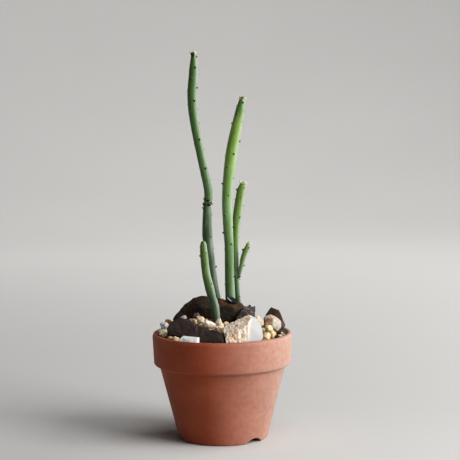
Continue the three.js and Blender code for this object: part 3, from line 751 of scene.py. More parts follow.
def stem_rings(stations, step):
    """Rings from the foot up to the tip, along the smooth curve through the stations"""
    points = [Vector(station[:3]) * MM for station in reversed(stations)]
    radii = [station[3] * MM / 2 for station in reversed(stations)]
    centres = smooth_line(points, step)
    rings = []
    for i, centre in enumerate(centres):
        before, after = centres[max(i - 1, 0)], centres[min(i + 1, len(centres) - 1)]
        lower = max(k for k in range(len(points) - 1) if points[k].z <= centre.z + WELD)
        share = (centre.z - points[lower].z) / (points[lower + 1].z - points[lower].z)
        radius = radii[lower] + (radii[lower + 1] - radii[lower]) * share
        rings.append(Ring(centre, radius, (after - before).normalized()))
    return rings


def tilt(lower, upper):
    """Turns the ring just drawn up from the lower ring's direction to the upper one's. Without a
    window, the turn runs against the right-hand rule, so each angle is given with its sign changed."""
    about_y = atan2(upper.along.x, upper.along.z) - atan2(lower.along.x, lower.along.z)
    about_x = atan2(lower.along.y, lower.along.z) - atan2(upper.along.y, upper.along.z)
    bpy.ops.transform.rotate(value=-about_y, orient_axis="Y", center_override=upper.centre)
    bpy.ops.transform.rotate(value=-about_x, orient_axis="X", center_override=upper.centre)


def draw_up(name, rings):
    """A round skin drawn up ring by ring from the foot, with a low dome over the tip"""
    foot, tip = rings[0], rings[-1]
    dome = [Ring(tip.centre + tip.along * tip.radius * rise, tip.radius * width, tip.along)
            for rise, width in TIP_DOME]
    start_piece()
    bpy.ops.mesh.primitive_circle_add(
        vertices=STEM_SIDES, radius=foot.radius, fill_type="NGON", location=foot.centre)
    edit_all()
    for lower, upper in zip(rings + dome, rings[1:] + dome):
        bpy.ops.mesh.extrude_region_move(TRANSFORM_OT_translate={"value": upper.centre - lower.centre})
        tilt(lower, upper)
        bpy.ops.transform.resize(value=[upper.radius / lower.radius] * 3, center_override=upper.centre)
    weld_skin()
    return settle(name)


def model_hump():
    """The green cushion that a leaf sat on"""
    start_piece()
    bpy.ops.mesh.primitive_uv_sphere_add(segments=10, ring_count=6, radius=1)
    bpy.ops.transform.resize(value=HUMP_FORM)
    return settle("hump_master")


def model_spur():
    """The dark pointed base that a withered leaf leaves behind, bent towards the tip"""
    start_piece()
    bpy.ops.mesh.primitive_cone_add(vertices=8, radius1=0.46, radius2=0.3, depth=0.6, location=(0, 0, 0.2))
    select_above(0.45)
    draw_out((0, 0.18, 0.32), [0.35] * 3, (0, 0.2, 0.8))
    weld_skin()
    return settle("spur_master")


def select_above(height):
    """The piece goes into edit mode with only what lies above the height selected"""
    enter("EDIT")
    bpy.ops.mesh.select_mode(type="VERT")
    bpy.ops.mesh.select_all(action="DESELECT")
    enter("OBJECT")
    piece = bpy.context.object
    for vertex in piece.data.vertices:
        vertex.select = (piece.matrix_world @ vertex.co).z > height
    enter("EDIT")


def model_scale_leaf():
    """A tiny dry scale leaf that curls over the tip"""
    start_piece()
    bpy.ops.mesh.primitive_cone_add(vertices=8, radius1=0.6, radius2=0.5, depth=0.7, location=(0, 0, 0.35))
    select_above(0.6)
    draw_out((0, 0.22, 0.45), (0.7, 0.6, 0.7), (0, 0.22, 1.15))
    draw_out((0, 0.3, 0.3), [0.3] * 3, (0, 0.52, 1.45))
    bpy.ops.mesh.select_all(action="SELECT")
    bpy.ops.transform.resize(value=(1, 0.45, 1), center_override=(0, 0, 0))
    weld_skin()
    return settle("scale_master")


def put_on(master, ring, angle, size, lean=0.0, sunk=0.0, stretch=(1, 1, 1)):
    """A copy of the master on the stem. Its height points outwards and leans to the tip by the given share,
    and it is sunk in by a share of its size."""
    outward = ring.outward(angle)
    pointing = (outward + ring.along * lean).normalized()
    across = ring.along.cross(pointing).normalized()
    turn = Matrix((across, pointing.cross(across), pointing)).transposed().to_4x4()
    place = Matrix.Translation(ring.centre + outward * (ring.radius - sunk * size))
    spread = Matrix.Diagonal((*(size * share for share in stretch), 1))
    return copy_of(master, "growth", place @ turn @ spread)


def ring_at(rings, travelled):
    """The skin's round at a distance from the tip, measured along the stem"""
    for upper, lower in zip(rings[::-1], rings[-2::-1]):
        step = (upper.centre - lower.centre).length
        if travelled <= step:
            share = travelled / step
            radius = upper.radius + (lower.radius - upper.radius) * share
            return Ring(upper.centre.lerp(lower.centre, share), radius, upper.along)
        travelled -= step
    return None


def leaf_scars(rings, seed, angle, settings, masters):
    """Scars wind up the stem by the golden angle and crowd towards the tip"""
    draw = seeded_draws(seed)
    humps, spurs = [], []
    travelled = SCAR_FIRST
    while True:
        ring = ring_at(rings, travelled)
        if ring is None or ring.centre.z < BARK_HEIGHT:
            return humps, spurs
        size = settings.scar_size * (0.85 + 0.3 * sin(7 * angle))
        humps.append(put_on(masters["hump"], ring, angle, size, sunk=0.28))
        spurs.append(put_on(masters["spur"], ring, angle, size, lean=0.25, sunk=0.05))
        angle += GOLDEN_ANGLE + SCAR_JITTER * (next(draw) - 0.5)
        aged = min(1, travelled / SCAR_CROWDED_LENGTH)
        spacing = settings.scar_spacing_tip + (settings.scar_spacing_foot - settings.scar_spacing_tip) * aged
        travelled += spacing * (1 + SCAR_JITTER * (next(draw) - 0.5))


def tip_tuft(rings, tip, masters):
    """Dry scale leaves flare out around the dark withered growing point"""
    count, leaf_size, degrees, half_width, half_height, offset = tip
    seat = ring_at(rings, TUFT_BELOW_TIP)
    leaves = []
    for k in range(count):
        angle = radians(degrees) + k * tau / count
        size = leaf_size * MM * (1 + 0.2 * sin(3 * k))
        leaves.append(put_on(masters["scale"], seat, angle, size, lean=TIP_LEAF_RISE, sunk=0.3))
    place = Matrix.Translation(rings[-1].centre + Vector(offset) * MM)
    wide, _, high = HUMP_FORM
    spread = Matrix.Diagonal((half_width * MM / wide, half_width * MM, half_height * MM / high, 1))
    return leaves, copy_of(masters["hump"], "bud", place @ spread)


def joint_crusts(rings, height, masters):
    """A ring of dark crusts with pale flecks at the joint between two years' growth"""
    ring = min(rings, key=lambda one: abs(one.centre.z - height))
    dark, pale = [], []
    for k in range(JOINT_CRUSTS):
        angle = k * tau / JOINT_CRUSTS + 0.3 * sin(5 * k)
        place = Ring(ring.centre + ring.along * JOINT_SPREAD * sin(3 * k), ring.radius, ring.along)
        size = (1.4 + 0.4 * sin(2 * k)) * MM
        crust = put_on(masters["spur"], place, angle, size, lean=0.2, stretch=(1.6, 1, 0.7))
        (pale if k % 4 == 1 else dark).append(crust)
    return dark, pale


def mark_painted_highlight_side(stick):
    """How far each point of a skin faces the right, where a highlight is painted in the bloom's colour"""
    mark(stick, "sunny", [vertex.normal.x for vertex in stick.data.vertices])


def build_stem(name, stem, settings, masters):
    green, dark, pale = [], [], []
    lines = [stem[key] for key in ("stations", "branch") if key in stem]
    for i, (stations, tip) in enumerate(zip(lines, stem["tips"])):
        rings = stem_rings(stations, settings.ring_step)
        stick = draw_up(name + "_skin", rings)
        ruffle(stick, 3.5, 0.16, stretch=(1, 1, 4))
        mark_painted_highlight_side(stick)
        humps, spurs = leaf_scars(rings, stem["seed"] + i, stem["turn"], settings, masters)
        leaves, bud = tip_tuft(rings, tip, masters)
        green += [stick, *humps]
        dark += [*spurs, bud]
        pale += leaves
        if i == 0 and "joint" in stem:
            crusts, flecks = joint_crusts(rings, stem["joint"] * MM, masters)
            dark += crusts
            pale += flecks
    # The shares darken some skins as painted shade: the short stem all over, the tall left stem below its
    # joint
    stops = [(height, darker(getattr(settings, shade), share)) for height, shade, share in stem["skin"]]
    surfaces = (stem_surface(name + "_skin", stops, settings), scar_surface(name + "_scar", settings.scar),
                scar_surface(name + "_scale", settings.scale))
    parts = []
    for group, surface in zip((green, dark, pale), surfaces):
        if group:
            parts.append(join_pieces(group))
            wear(parts[-1], surface)
    piece = join_pieces(parts)
    piece.name = name + "_grown"
    bpy.ops.object.shade_smooth_by_angle(angle=radians(50))
    hand_over(piece, name, stem["slot"])


class EUPHORBIA_OT_add_stems(bpy.types.Operator):
    """Grow the stems with their leaf scars, joints and scale leaves"""
    bl_idname = "euphorbia.add_stems"
    bl_label = "Stems"

    def execute(self, context):
        settings = context.scene.euphorbia.stems
        masters = {"hump": model_hump(), "spur": model_spur(), "scale": model_scale_leaf()}
        for name, stem in STEMS.items():
            build_stem(name, stem, settings, masters)
        for master in masters.values():
            discard(master)
        return {"FINISHED"}


# Rocks and chips


def weathered_stone(node, grain, worn, swell, chips, reliefs, faced=False):
    """A stone with its node's form, resized a little for what is worn off, chipped and then weathered"""
    piece = from_node(node, node + "_worn")
    low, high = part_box(node)
    bpy.ops.transform.resize(value=(swell, swell, swell), center_override=(low + high) / 2)
    enter("OBJECT")
    chip_off(piece, *chips, len(node))
    shape_with(piece, "REMESH", mode="VOXEL", voxel_size=grain * MM)
    shape_with(piece, "SMOOTH", factor=0.5, iterations=worn)
    group = rough_side(piece) if faced else ""
    for size, depth, basis, stretch in reliefs:
        ruffle(piece, size, depth, basis, stretch, group=group)
    bpy.ops.object.shade_smooth()
    return piece


def chip_off(piece, cuts, depth, seed):
    """Flat scars where chips up to the given depth have broken off the stone"""
    draw = seeded_draws(1000 + seed)
    for _ in range(cuts):
        side = Vector((next(draw) - 0.5, next(draw) - 0.7, next(draw) - 0.4)).normalized()
        reach = max(vertex.co.dot(side) for vertex in piece.data.vertices)
        enter("EDIT")
        break_off(side, reach - depth * MM * (0.4 + 0.6 * next(draw)))
        enter("OBJECT")


# The pale rock's plain white face starts at this x at this height, and leans by this share. The relief
# fades towards it over the blend, down to the share that is left on the face.
FACE_START = 16.6 * MM
FACE_HEIGHT = 68 * MM
FACE_LEAN = 0.13
FACE_BLEND = 3.2 * MM
FACE_ROUGHNESS = 0.04


def rough_side(piece):
    """A vertex group of all that lies left of the white face, which the relief is held to"""
    group = piece.vertex_groups.new(name="rough")
    for vertex in piece.data.vertices:
        start = FACE_START + FACE_LEAN * (vertex.co.z - FACE_HEIGHT)
        weight = min(1, max(FACE_ROUGHNESS, (start - vertex.co.x) / FACE_BLEND))
        group.add([vertex.index], weight, "REPLACE")
    return group.name


# Form of each rock: slot, finest grain, wearing passes, swell, number and depth of the chips broken off,
# its reliefs as (size, depth, pattern, stretch), and whether it has one smooth face
ROCKS = {
    "rock_back_brown": ("rock_brown", 0.42, 3, 1.03, (9, 0.8), [
        (8, 1.6, LUMPS, EVEN), (2.6, 0.9, CELLS, EVEN), (1.1, 0.3, GRIT, EVEN)]),
    "rock_back_grey": ("rock_grey", 0.32, 2, 1.02, (0, 0), [
        (3.2, 0.7, CRACKS, EVEN), (1.2, 0.35, LUMPS, EVEN)]),
    "rock_front_slab": ("rock_slab", 0.38, 7, 1.02, (6, 0.9), [
        (7, 1.2, LUMPS, EVEN), (1.8, 0.4, GRIT, EVEN)]),
    "rock_front_pale": ("rock_pale", 0.32, 2, 1.01, (0, 0), [
        (2.6, 0.9, LUMPS, FLUTED), (3.2, 0.8, CRACKS, FLUTED), (1.1, 0.3, LUMPS, EVEN)], True),
    "rock_right_dark": ("rock_purple_brown", 0.33, 1, 1.0, (3, 0.4), [
        (4, 0.4, LUMPS, EVEN), (1.2, 0.2, GRIT, EVEN)]),
    "stone_right_cream": ("stone_cream", 0.28, 4, 1.04, (4, 0.6), [
        (3, 0.7, LUMPS, EVEN), (0.9, 0.2, GRIT, EVEN)]),
    "chip_front_white": ("chip_white", 0.22, 1, 0.96, (0, 0), [(2.5, 0.4, LUMPS, EVEN)]),
    "chip_dark_glossy": ("chip_black", 0.18, 1, 1.05, (0, 0), [(2, 0.3, LUMPS, EVEN)]),
}


def rock_surfaces(stones):
    """The surface of each rock, with its stains, faces and stripes in place"""
    rust, brown, cream = stones.rust, stones.brown, stones.cream

    def rock(name, color, share, mottle, seed, patches=(), **form):
        """The second colour is a share of the first. A patch is (centre, reach, colour, share of it)."""
        patches = [(centre, reach, darker(overlay_color, amount)) for centre, reach, overlay_color, amount in patches]
        return stone_surface(name, color, darker(color, share), mottle, seed, patches, **form)

    return {
        # The brown rock's second patch, low on its right, is painted shade where the pale rock shades it
        "rock_back_brown": rock(
            "rock_brown", brown, 0.45, 5, 1, [((4, 4, 87), 6, rust, 0.34), ((2, 0, 79), 7, brown, 0.35)],
            specks=[(2.2, 0.16, darker(brown, 1.8))], roughness=0.85, relief=0.35),
        "rock_back_grey": rock(
            "rock_grey", stones.grey, 0.6, 2.4, 2, [((12.2, -6, 83.6), 1.3, rust, 2.2)],
            specks=[(1.6, 0.24, darker(stones.pale, 0.7))], relief=0.4, specular=0.15),
        "rock_front_slab": rock("rock_slab", stones.slab, 0.6, 5, 3, roughness=0.75),
        "rock_front_pale": two_faced_rock(stones),
        "rock_right_dark": rock(
            "rock_purple", stones.purple, 0.6, 4, 5, [((31.5, -1.5, 81.5), 9.2, rust, 0.13)], specular=0.08),
        "stone_right_cream": rock(
            "stone_cream", cream, 0.72, 3, 6,
            [((30.2, -12, 77.2), 2.2, rust, 1.5), ((28.2, -11, 77.6), 1.5, rust, 1.0),
             ((27.4, -11, 75.4), 1.6, rust, 0.7), ((30.4, -12.5, 73.8), 1.9, rust, 0.5)],
            specks=[(1.8, 0.2, darker(rust, 0.6))]),
        "chip_front_white": rock("chip_ice", stones.ice, 0.8, 3, 7, roughness=0.5, relief=0.12),
        "chip_dark_glossy": striped_chip(stones),
    }


def two_faced_rock(stones):
    """Fluted cream stone with rust in its furrows at the left, and a plain white face at the right"""
    surface = Surface("rock_pale", 0.75)
    pale, rust = stones.pale, stones.rust
    specks = [(2.6, 0.27, darker(rust, 1.3)), (1.5, 0.2, darker(rust, 0.6))]
    shade, broad, fine = stone_shades(
        surface, darker(pale, 1.1), darker(pale, 0.88), 2.6, specks, (4, 8, 12), (1, 1, 2.4), 0.14)
    furrows = surface.noise(2, stretch=(1, 1, 4), offset=(9, 0, 0))
    shade = surface.cover(shade, darker(rust, 1.5), furrows, 0.48, 0.34, 0.5)
    for centre, reach, amount in (
            ((1.6, -33, 70.8), 2.1, 0.25), ((7.5, -36.5, 72), 2.4, 2.4), ((14.6, -38.8, 69.4), 1.7, 0.35),
            ((11, -37, 76), 2.0, 2.4)):
        shade = surface.mix(surface.times(surface.patch(centre, reach), 0.55), shade, darker(rust, amount))
    leaning = surface.times(surface.math("SUBTRACT", surface.axis("Z"), FACE_HEIGHT), FACE_LEAN)
    ragged = surface.swing(surface.noise(2), 1.6 * MM)
    across = surface.plus(surface.math("SUBTRACT", surface.axis("X"), leaning), ragged)
    white = surface.cover(stones.white, darker(stones.white, 0.8), fine, 0.6, 0.3, 0.25)
    face = surface.fade(across, FACE_START - 0.9 * MM, FACE_START + 0.9 * MM)
    coarse = surface.times(broad, surface.fade(face, 0, 1, 1, 0.1))
    rough = surface.fade(fine, 0.3, 0.7, 0.65, 0.85)
    return surface.finish(surface.mix(face, shade, white), [(coarse, 0.5), (fine, 0.15)], rough)


# Place, spacing and slant of the pale stripes across the black chip
STRIPE_OFFSET = 1.1 * MM
STRIPE_SPACING = 2.2 * MM
STRIPE_SLANT = radians(-42)


def striped_chip(stones):
    """Black glossy stone with pale diagonal stripes"""
    surface = Surface("chip_black", 0.22, 0.5)
    slanted = surface.moved(offset=(0, 0, STRIPE_OFFSET), turn=(0, STRIPE_SLANT, 0))
    band = surface.plus(surface.axis("Z", slanted), surface.times(surface.noise(2), 0.8 * MM))
    stripes = surface.fade(surface.math("PINGPONG", band, STRIPE_SPACING), 0, STRIPE_SPACING)
    color = surface.ramp(stripes, [(0.05, stones.pale_stripe), (0.14, stones.black)])
    fine = surface.noise(0.5, detail=5)
    return surface.finish(color, [(fine, 0.08)], surface.fade(fine, 0.3, 0.7, 0.18, 0.35))


class EUPHORBIA_OT_add_rocks(bpy.types.Operator):
    """Weather the rocks and chips of the top dressing"""
    bl_idname = "euphorbia.add_rocks"
    bl_label = "Rocks"

    def execute(self, context):
        surfaces = rock_surfaces(context.scene.euphorbia.stones)
        for node, (slot, *form) in ROCKS.items():
            hand_over(weathered_stone(node, *form), node, slot, surfaces[node])
        return {"FINISHED"}


# Loose pebbles that stand out from the gravel: slot, two screen colours and mottling size
PEBBLES = {
    "pebble_grey_left": ("pebble_grey", (180, 172, 168), (126, 114, 110), 2.5),
    "pebble_mauve": ("pebble_mauve", (116, 98, 96), (72, 56, 52), 2.5),
    "pebble_cream_back": ("pebble_cream", (210, 198, 176), (176, 150, 116), 2.0),
    "pebble_brown_rind": ("pebble_tan", (214, 196, 162), (130, 104, 76), 2.2),
    "pebble_pink_long": ("pebble_pink", (246, 236, 222), (222, 198, 180), 2.4),
    "pebble_pink_small": ("pebble_pink", (234, 214, 202), (200, 166, 146), 2.0),
    "pebble_stem_foot": ("pebble_cream", (240, 230, 214), (206, 188, 162), 1.8),
    "pebble_grey_white": ("pebble_grey", (224, 227, 230), (180, 182, 186), 2.5),
    "pebble_orange": ("pebble_orange", (164, 116, 70), (118, 80, 48), 1.8),
    "pebble_tan_left": ("pebble_tan", (244, 232, 208), (216, 192, 152), 1.8),
    "pebble_tan_front": ("pebble_tan", (228, 208, 174), (188, 152, 110), 1.8),
    "pebble_yellow_upper": ("pebble_tan", (226, 206, 170), (198, 168, 124), 1.6),
    "pebble_yellow_right": ("pebble_tan", (236, 214, 176), (206, 170, 122), 1.6),
    "pebble_yellow_front": ("pebble_tan", (240, 222, 190), (212, 180, 136), 1.6),
    "pebble_cream_sliver": ("pebble_cream", (232, 218, 194), (178, 156, 128), 2.2),
}
# Their form, with the same values as the rocks' one
PEBBLE_FORM = (0.24, 2, 1.08, (5, 0.7), [(2.0, 0.7, LUMPS, EVEN), (0.8, 0.2, GRIT, EVEN)])


class EUPHORBIA_OT_add_pebbles(bpy.types.Operator):
    """Wear the loose pebbles round and give each its own stone"""
    bl_idname = "euphorbia.add_pebbles"
    bl_label = "Pebbles"

    def execute(self, context):
        for seed, (node, (slot, color, other, mottle)) in enumerate(PEBBLES.items(), 11):
            shades = [[linear(channel) for channel in shade] for shade in (color, other)]
            surface = stone_surface(node, *shades, mottle, seed, relief=0.2)
            hand_over(weathered_stone(node, *PEBBLE_FORM), node, slot, surface)
        return {"FINISHED"}


# Gravel


# Heights, places and radii of the mound, its heap and the bed under the grains, in millimetres
MOUND_EDGE_HEIGHT = 64.2
MOUND_RISE = 7.2
MOUND_RADIUS = 40.5
MOUND_TILT = -0.03
HEAP_CENTRE = (-18, -6)
HEAP_RISE = 4.5
HEAP_REACH = 11.5
HEAP_RADIUS = 13
HEAP_DEPTH = 7
BED_BOTTOM = 57.4
BED_SUNK = 0.6
ROOM_RADIUS = 41.4
BED_TOP_RADIUS = 40.9
BED_BOTTOM_RADIUS = 39
GRAIN_TRIES = 5200
GRAIN_SHAPES = 9
# Places left bare of grains, as x, y and the reach both ways. The last two bare the dark soil as painted
# shade: between the front rocks and in the hollow by the right rim.
BARE_SPOTS = ((-6.5, -36, 9, 7), (2.4, -8, 2.6, 5), (34.5, -11, 3, 4.5))
# How high the top layer lies over the mound, and how deep the lower one lies under it, with its grains' share
TOP_LAYER = 1.3
LOWER_LAYER = 2.6
LOWER_SIZE = 0.75
# Least distance from a grain's middle to a stone, as a share of its size
GRAIN_ROOM = 0.62
# A grain's three half widths, as the least share of its size and what chance adds
GRAIN_FORM = ((0.9, 0.35), (0.8, 0.3), (0.65, 0.3))
# Size of the grains under a pebble, as a share of the usual one, and how far out they lie, of its width
SEAT_SIZE = 0.8
SEAT_REACH = 0.32


def mound(x, y):
    """Height of the gravel above the ground, all in millimetres"""
    rise = 1 - (min(hypot(x, y), MOUND_RADIUS) / MOUND_RADIUS) ** 2
    from_heap = hypot(x - HEAP_CENTRE[0], y - HEAP_CENTRE[1]) / HEAP_REACH
    return MOUND_EDGE_HEIGHT + MOUND_RISE * rise + HEAP_RISE * exp(-from_heap ** 2) + MOUND_TILT * x


def model_grain(seed):
    """A gravel grain: a lump with three of its sides broken off flat"""
    draw = seeded_draws(100 + 37 * seed)
    start_piece()
    bpy.ops.mesh.primitive_uv_sphere_add(segments=8, ring_count=6, radius=1)
    edit_all()
    bpy.ops.transform.vertex_random(offset=0.16, seed=seed)
    for _ in range(3):
        side = Vector((next(draw) - 0.5, next(draw) - 0.5, next(draw) - 0.5)).normalized()
        break_off(side, 0.62 + 0.2 * next(draw))
    weld_skin()
    return settle(f"grain_master_{seed}", 32)


def stone_space():
    """A search tree over everything that stands in the gravel"""
    points, faces = [], []
    for node in (*ROCKS, *PEBBLES, *STEMS):
        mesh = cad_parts[node].data
        base = len(points)
        points += [vertex.co.copy() for vertex in mesh.vertices]
        faces += [[base + index for index in face.vertices] for face in mesh.polygons]
    return BVHTree.FromPolygons(points, faces)


def is_free(space, place, size):
    """Whether a grain of that size fits there without showing through a stone, off the bare spots"""
    nearest, normal, _, distance = space.find_nearest(place)
    inside = (place - nearest).dot(normal) < 0
    x, y = place.xy / MM
    covered = all(hypot((x - spot_x) / wide, (y - spot_y) / deep) > 1
                  for spot_x, spot_y, wide, deep in BARE_SPOTS)
    return not inside and distance > GRAIN_ROOM * size and covered


def grain_layer(settings, draw, sunk, share, space):
    """Seeded places over the mound as (place, size), no two nearer than the spacing"""
    grains = []
    for _ in range(GRAIN_TRIES):
        radius = sqrt(next(draw))
        angle = tau * next(draw)
        size = settings.grain * share * (0.55 + 0.85 * next(draw))
        reach = ROOM_RADIUS * MM - 0.9 * size
        x, y = radius * reach * cos(angle), radius * reach * sin(angle)
        z = mound(x / MM, y / MM) * MM + (TOP_LAYER - sunk) * MM + 0.25 * size
        place = Vector((x, y, z))
        gap = settings.spacing * share / (2 * settings.grain)
        near = (other for other, other_size in grains
                if (other.xy - place.xy).length < gap * (size + other_size))
        if next(near, None) is None and is_free(space, place, size):
            grains.append((place, size))
    return grains


def seat_grains(settings, draw, space):
    """Grains piled under every loose pebble, from the mound up to its underside"""
    grains = []
    size = settings.grain * SEAT_SIZE
    for node in PEBBLES:
        low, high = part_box(node)
        middle = (low + high) / 2
        reach = (high.x - low.x) * SEAT_REACH
        height = low.z - 0.3 * size
        while height > mound(middle.x / MM, middle.y / MM) * MM:
            turn = tau * next(draw)
            for k in range(4):
                angle = turn + k * pi / 2
                x, y = middle.x + reach * cos(angle), middle.y + reach * sin(angle)
                place = Vector((x, y, height))
                if is_free(space, place, size) and place.xy.length < ROOM_RADIUS * MM - size:
                    grains.append((place, size))
            height -= 1.3 * size
    return grains


def bed_swelling(name, segments, ring_count, centre, radius, rise):
    """A flattened ball, with its sizes in millimetres"""
    start_piece()
    bpy.ops.mesh.primitive_uv_sphere_add(
        segments=segments, ring_count=ring_count, radius=1, location=[value * MM for value in centre])
    bpy.ops.transform.resize(value=(radius * MM, radius * MM, rise * MM))
    return settle(name)


def gravel_bed():
    """A closed mound of soil and grit under the grains"""
    edge = MOUND_EDGE_HEIGHT - BED_SUNK
    start_piece()
    bpy.ops.mesh.primitive_cone_add(
        vertices=96, radius1=BED_BOTTOM_RADIUS * MM, radius2=BED_TOP_RADIUS * MM,
        depth=(edge - BED_BOTTOM) * MM, location=(0, 0, (edge + BED_BOTTOM) / 2 * MM))
    bed = settle("gravel_bed")
    dome = bed_swelling("gravel_dome", 64, 48, (0, 0, edge), BED_TOP_RADIUS, MOUND_RISE)
    heap_centre = (*HEAP_CENTRE, mound(*HEAP_CENTRE) - BED_SUNK - HEAP_DEPTH)
    heap = bed_swelling("gravel_heap", 48, 32, heap_centre, HEAP_RADIUS, HEAP_DEPTH)
    bed = join_pieces([bed, dome, heap])
    shape_with(bed, "REMESH", mode="VOXEL", voxel_size=0.7 * MM)
    ruffle(bed, 2.4, 1.0, middle=0.8, octaves=3)
    bpy.ops.object.shade_smooth()
    return bed


def grain_surface(settings):
    """Mixed gravel: each grain takes its colour from its own tone, from grey over tan to cream"""
    surface = Surface("mixed_gravel", 0.8)
    tone = surface.add("ShaderNodeAttribute", attribute_name="tone").outputs["Fac"]
    shade = surface.ramp(tone, [
        (0.0, darker(settings.grey, 0.6)), (0.1, settings.grey), (0.2, settings.ochre),
        (0.4, settings.tan), (0.75, settings.tan), (1.0, settings.cream)])
    mottle = surface.noise(1.6, detail=6, roughness=0.65)
    shade = surface.cover(shade, darker(settings.ochre, 0.6), mottle, 0.5, 0.3, 0.6)
    shade = surface.cover(shade, settings.cream, mottle, 0.55, 0.75, 0.5)
    fine = surface.noise(0.4, detail=5, roughness=0.7)
    return surface.finish(shade, [(mottle, 0.25), (fine, 0.12)], surface.fade(fine, 0.3, 0.7, 0.7, 0.9))


def lay_grains(grains, masters, draw):
    """One copy of a master for each place, turned at random and given a tone of its own"""
    pieces = []
    for place, size in grains:
        master = masters[int(next(draw) * len(masters))]
        about_z, about_x = (Matrix.Rotation(tau * next(draw), 4, axis) for axis in "ZX")
        spread = Matrix.Diagonal((*(size * (least + more * next(draw)) for least, more in GRAIN_FORM), 1))
        piece = copy_of(master, "grain", Matrix.Translation(place) @ spread @ (about_z @ about_x))
        mark(piece, "tone", [next(draw)] * len(piece.data.vertices))
        pieces.append(piece)
    return pieces


class EUPHORBIA_OT_add_gravel(bpy.types.Operator):
    """Pour the gravel around the stones"""
    bl_idname = "euphorbia.add_gravel"
    bl_label = "Gravel"

    def execute(self, context):
        settings = context.scene.euphorbia.gravel
        draw = seeded_draws(settings.seed)
        space = stone_space()
        grains = grain_layer(settings, draw, 0, 1, space)
        grains += grain_layer(settings, draw, LOWER_LAYER, LOWER_SIZE, space)
        grains += seat_grains(settings, draw, space)
        masters = [model_grain(seed) for seed in range(1, GRAIN_SHAPES + 1)]
        layer = join_pieces(lay_grains(grains, masters, draw))
        for master in masters:
            discard(master)
        wear(layer, grain_surface(settings))
        bed = gravel_bed()
        wear(bed, soil_surface(settings))
        piece = join_pieces([layer, bed])
        piece.name = "gravel_poured"
        hand_over(piece, "gravel", "gravel_tan")
        return {"FINISHED"}


# Stage


CAMERA_PLACE = (5.63 * MM, -899.4 * MM, 214.93 * MM)
CAMERA_DOWN = radians(5.14)
CAMERA_ROLL = radians(-0.54)
CAMERA_LENS = 110.38
STAGE_RADIUS = 3.0
STAGE_HEIGHT = 1.6
SWEEP_HOLE = 0.02
POT_MIDDLE = (0, 0, 0.1)
BACKDROP_LIGHT = (0, 0.9, 1.4)
BACKDROP_TARGET = (0, 2.7, 0.35)

# Soft windows: azimuth from the front towards the right, distance, height, size and share of the strength
WINDOWS = (
    ("key_window", 62, 1.33, 0.75, 1.0, 1.0),
    ("side_window", 112, 1.4, 0.6, 0.9, 0.3),
    ("back_window", 234, 1.86, 0.9, 0.8, 0.03),
    ("ceiling", 40, 0.5, 1.5, 1.2, 0.3),
)


def add_sweep(stage):
    """A pale floor that curves up far from the pot, all round it"""
    points = [Vector((SWEEP_HOLE, 0)), Vector((0.4, 0)), Vector((STAGE_RADIUS - STAGE_HEIGHT, 0))]
    for k in range(1, 13):
        angle = k / 12 * pi / 2
        across = STAGE_RADIUS - STAGE_HEIGHT * (1 - sin(angle))
        points.append(Vector((across, STAGE_HEIGHT * (1 - cos(angle)))))
    sweep = turn_on_wheel("studio_sweep", points, 96, closed=False)
    edit_all()
    bpy.ops.mesh.normals_make_consistent(inside=True)
    bpy.ops.mesh.select_all(action="DESELECT")
    enter("OBJECT")
    for vertex in sweep.data.vertices:
        vertex.select = vertex.co.xy.length < 2 * SWEEP_HOLE
    for edge in sweep.data.edges:
        edge.select = all(sweep.data.vertices[index].select for index in edge.vertices)
    enter("EDIT")
    bpy.ops.mesh.edge_face_add()
    enter("OBJECT")
    surface = Surface("studio_floor", 0.9, 0.1)
    color = surface.ramp(surface.noise(400), [(0.3, darker(stage.floor, 0.97)), (0.7, stage.floor)])
    wear(sweep, surface.finish(color, [(surface.noise(2), 0.02)]))


def add_light(name, place, target, width, height, power):
    turn = (Vector(target) - Vector(place)).to_track_quat("-Z", "Y").to_euler()
    start_piece()
    bpy.ops.object.light_add(type="AREA", location=place, rotation=turn)
    light = bpy.context.object
    light.name = name
    light.data.shape = "RECTANGLE"
    light.data.size = width
    light.data.size_y = height
    light.data.energy = power
    light.visible_camera = False


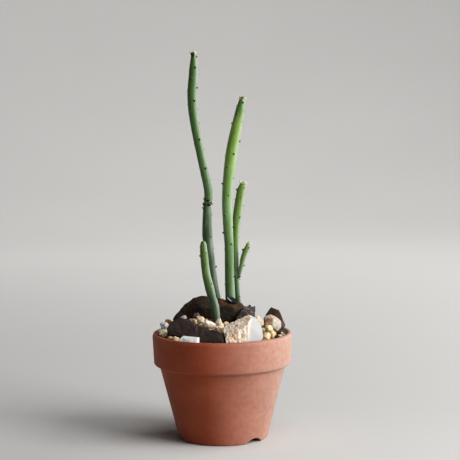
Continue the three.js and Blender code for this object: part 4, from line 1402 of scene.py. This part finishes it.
class EUPHORBIA_OT_add_stage(bpy.types.Operator):
    """Set up the floor, the soft light and the camera"""
    bl_idname = "euphorbia.add_stage"
    bl_label = "Stage"

    def execute(self, context):
        scene = context.scene
        stage = scene.euphorbia.stage
        add_sweep(stage)
        for name, azimuth, distance, height, size, share in WINDOWS:
            angle = radians(azimuth)
            place = (distance * sin(angle), -distance * cos(angle), height)
            add_light(name, place, POT_MIDDLE, size, size, share * stage.key)
        add_light("backdrop_light", BACKDROP_LIGHT, BACKDROP_TARGET, 1.2, 0.6, stage.backdrop)
        scene.world = bpy.data.worlds.new("studio_air")
        scene.world.use_nodes = True
        background = scene.world.node_tree.nodes["Background"]
        background.inputs["Color"].default_value = (1, 1, 1, 1)
        background.inputs["Strength"].default_value = stage.fill
        turn = Matrix.Rotation(pi / 2 - CAMERA_DOWN, 3, "X") @ Matrix.Rotation(CAMERA_ROLL, 3, "Z")
        start_piece()
        bpy.ops.object.camera_add(location=CAMERA_PLACE, rotation=turn.to_euler())
        scene.camera = bpy.context.object
        scene.camera.data.lens = CAMERA_LENS
        scene.camera.data.sensor_width = 36
        scene.view_settings.view_transform = "Standard"
        scene.view_settings.look = "Medium High Contrast"
        return {"FINISHED"}


# Panel and registration


class EUPHORBIA_PT_panel(bpy.types.Panel):
    """Lists the pieces in the order in which they are made"""
    bl_label = "Potted Stick Euphorbia"
    bl_idname = "EUPHORBIA_PT_panel"
    bl_space_type = "VIEW_3D"
    bl_region_type = "UI"
    bl_category = "Euphorbia"

    def draw(self, context):
        for operator in OPERATORS:
            self.layout.operator(operator.bl_idname)
        for group in ("pot", "stems", "stones", "gravel", "stage"):
            settings = getattr(context.scene.euphorbia, group)
            box = self.layout.box()
            for name in settings.__annotations__:
                box.prop(settings, name)


OPERATORS = (
    EUPHORBIA_OT_add_stage, EUPHORBIA_OT_add_pot, EUPHORBIA_OT_add_filling, EUPHORBIA_OT_add_stems,
    EUPHORBIA_OT_add_rocks, EUPHORBIA_OT_add_pebbles, EUPHORBIA_OT_add_gravel,
)
CLASSES = (
    PotSettings, StemSettings, StoneSettings, GravelSettings, StageSettings, PlantSettings, *OPERATORS,
    EUPHORBIA_PT_panel,
)


def register():
    for each in CLASSES:
        bpy.utils.register_class(each)
    bpy.types.Scene.euphorbia = bpy.props.PointerProperty(type=PlantSettings)


def unregister():
    del bpy.types.Scene.euphorbia
    for each in reversed(CLASSES):
        bpy.utils.unregister_class(each)


def main():
    register()
    bpy.ops.euphorbia.add_stage()
    bpy.ops.euphorbia.add_pot()
    bpy.ops.euphorbia.add_filling()
    bpy.ops.euphorbia.add_stems()
    bpy.ops.euphorbia.add_rocks()
    bpy.ops.euphorbia.add_pebbles()
    bpy.ops.euphorbia.add_gravel()


if __name__ == "__main__":
    main()
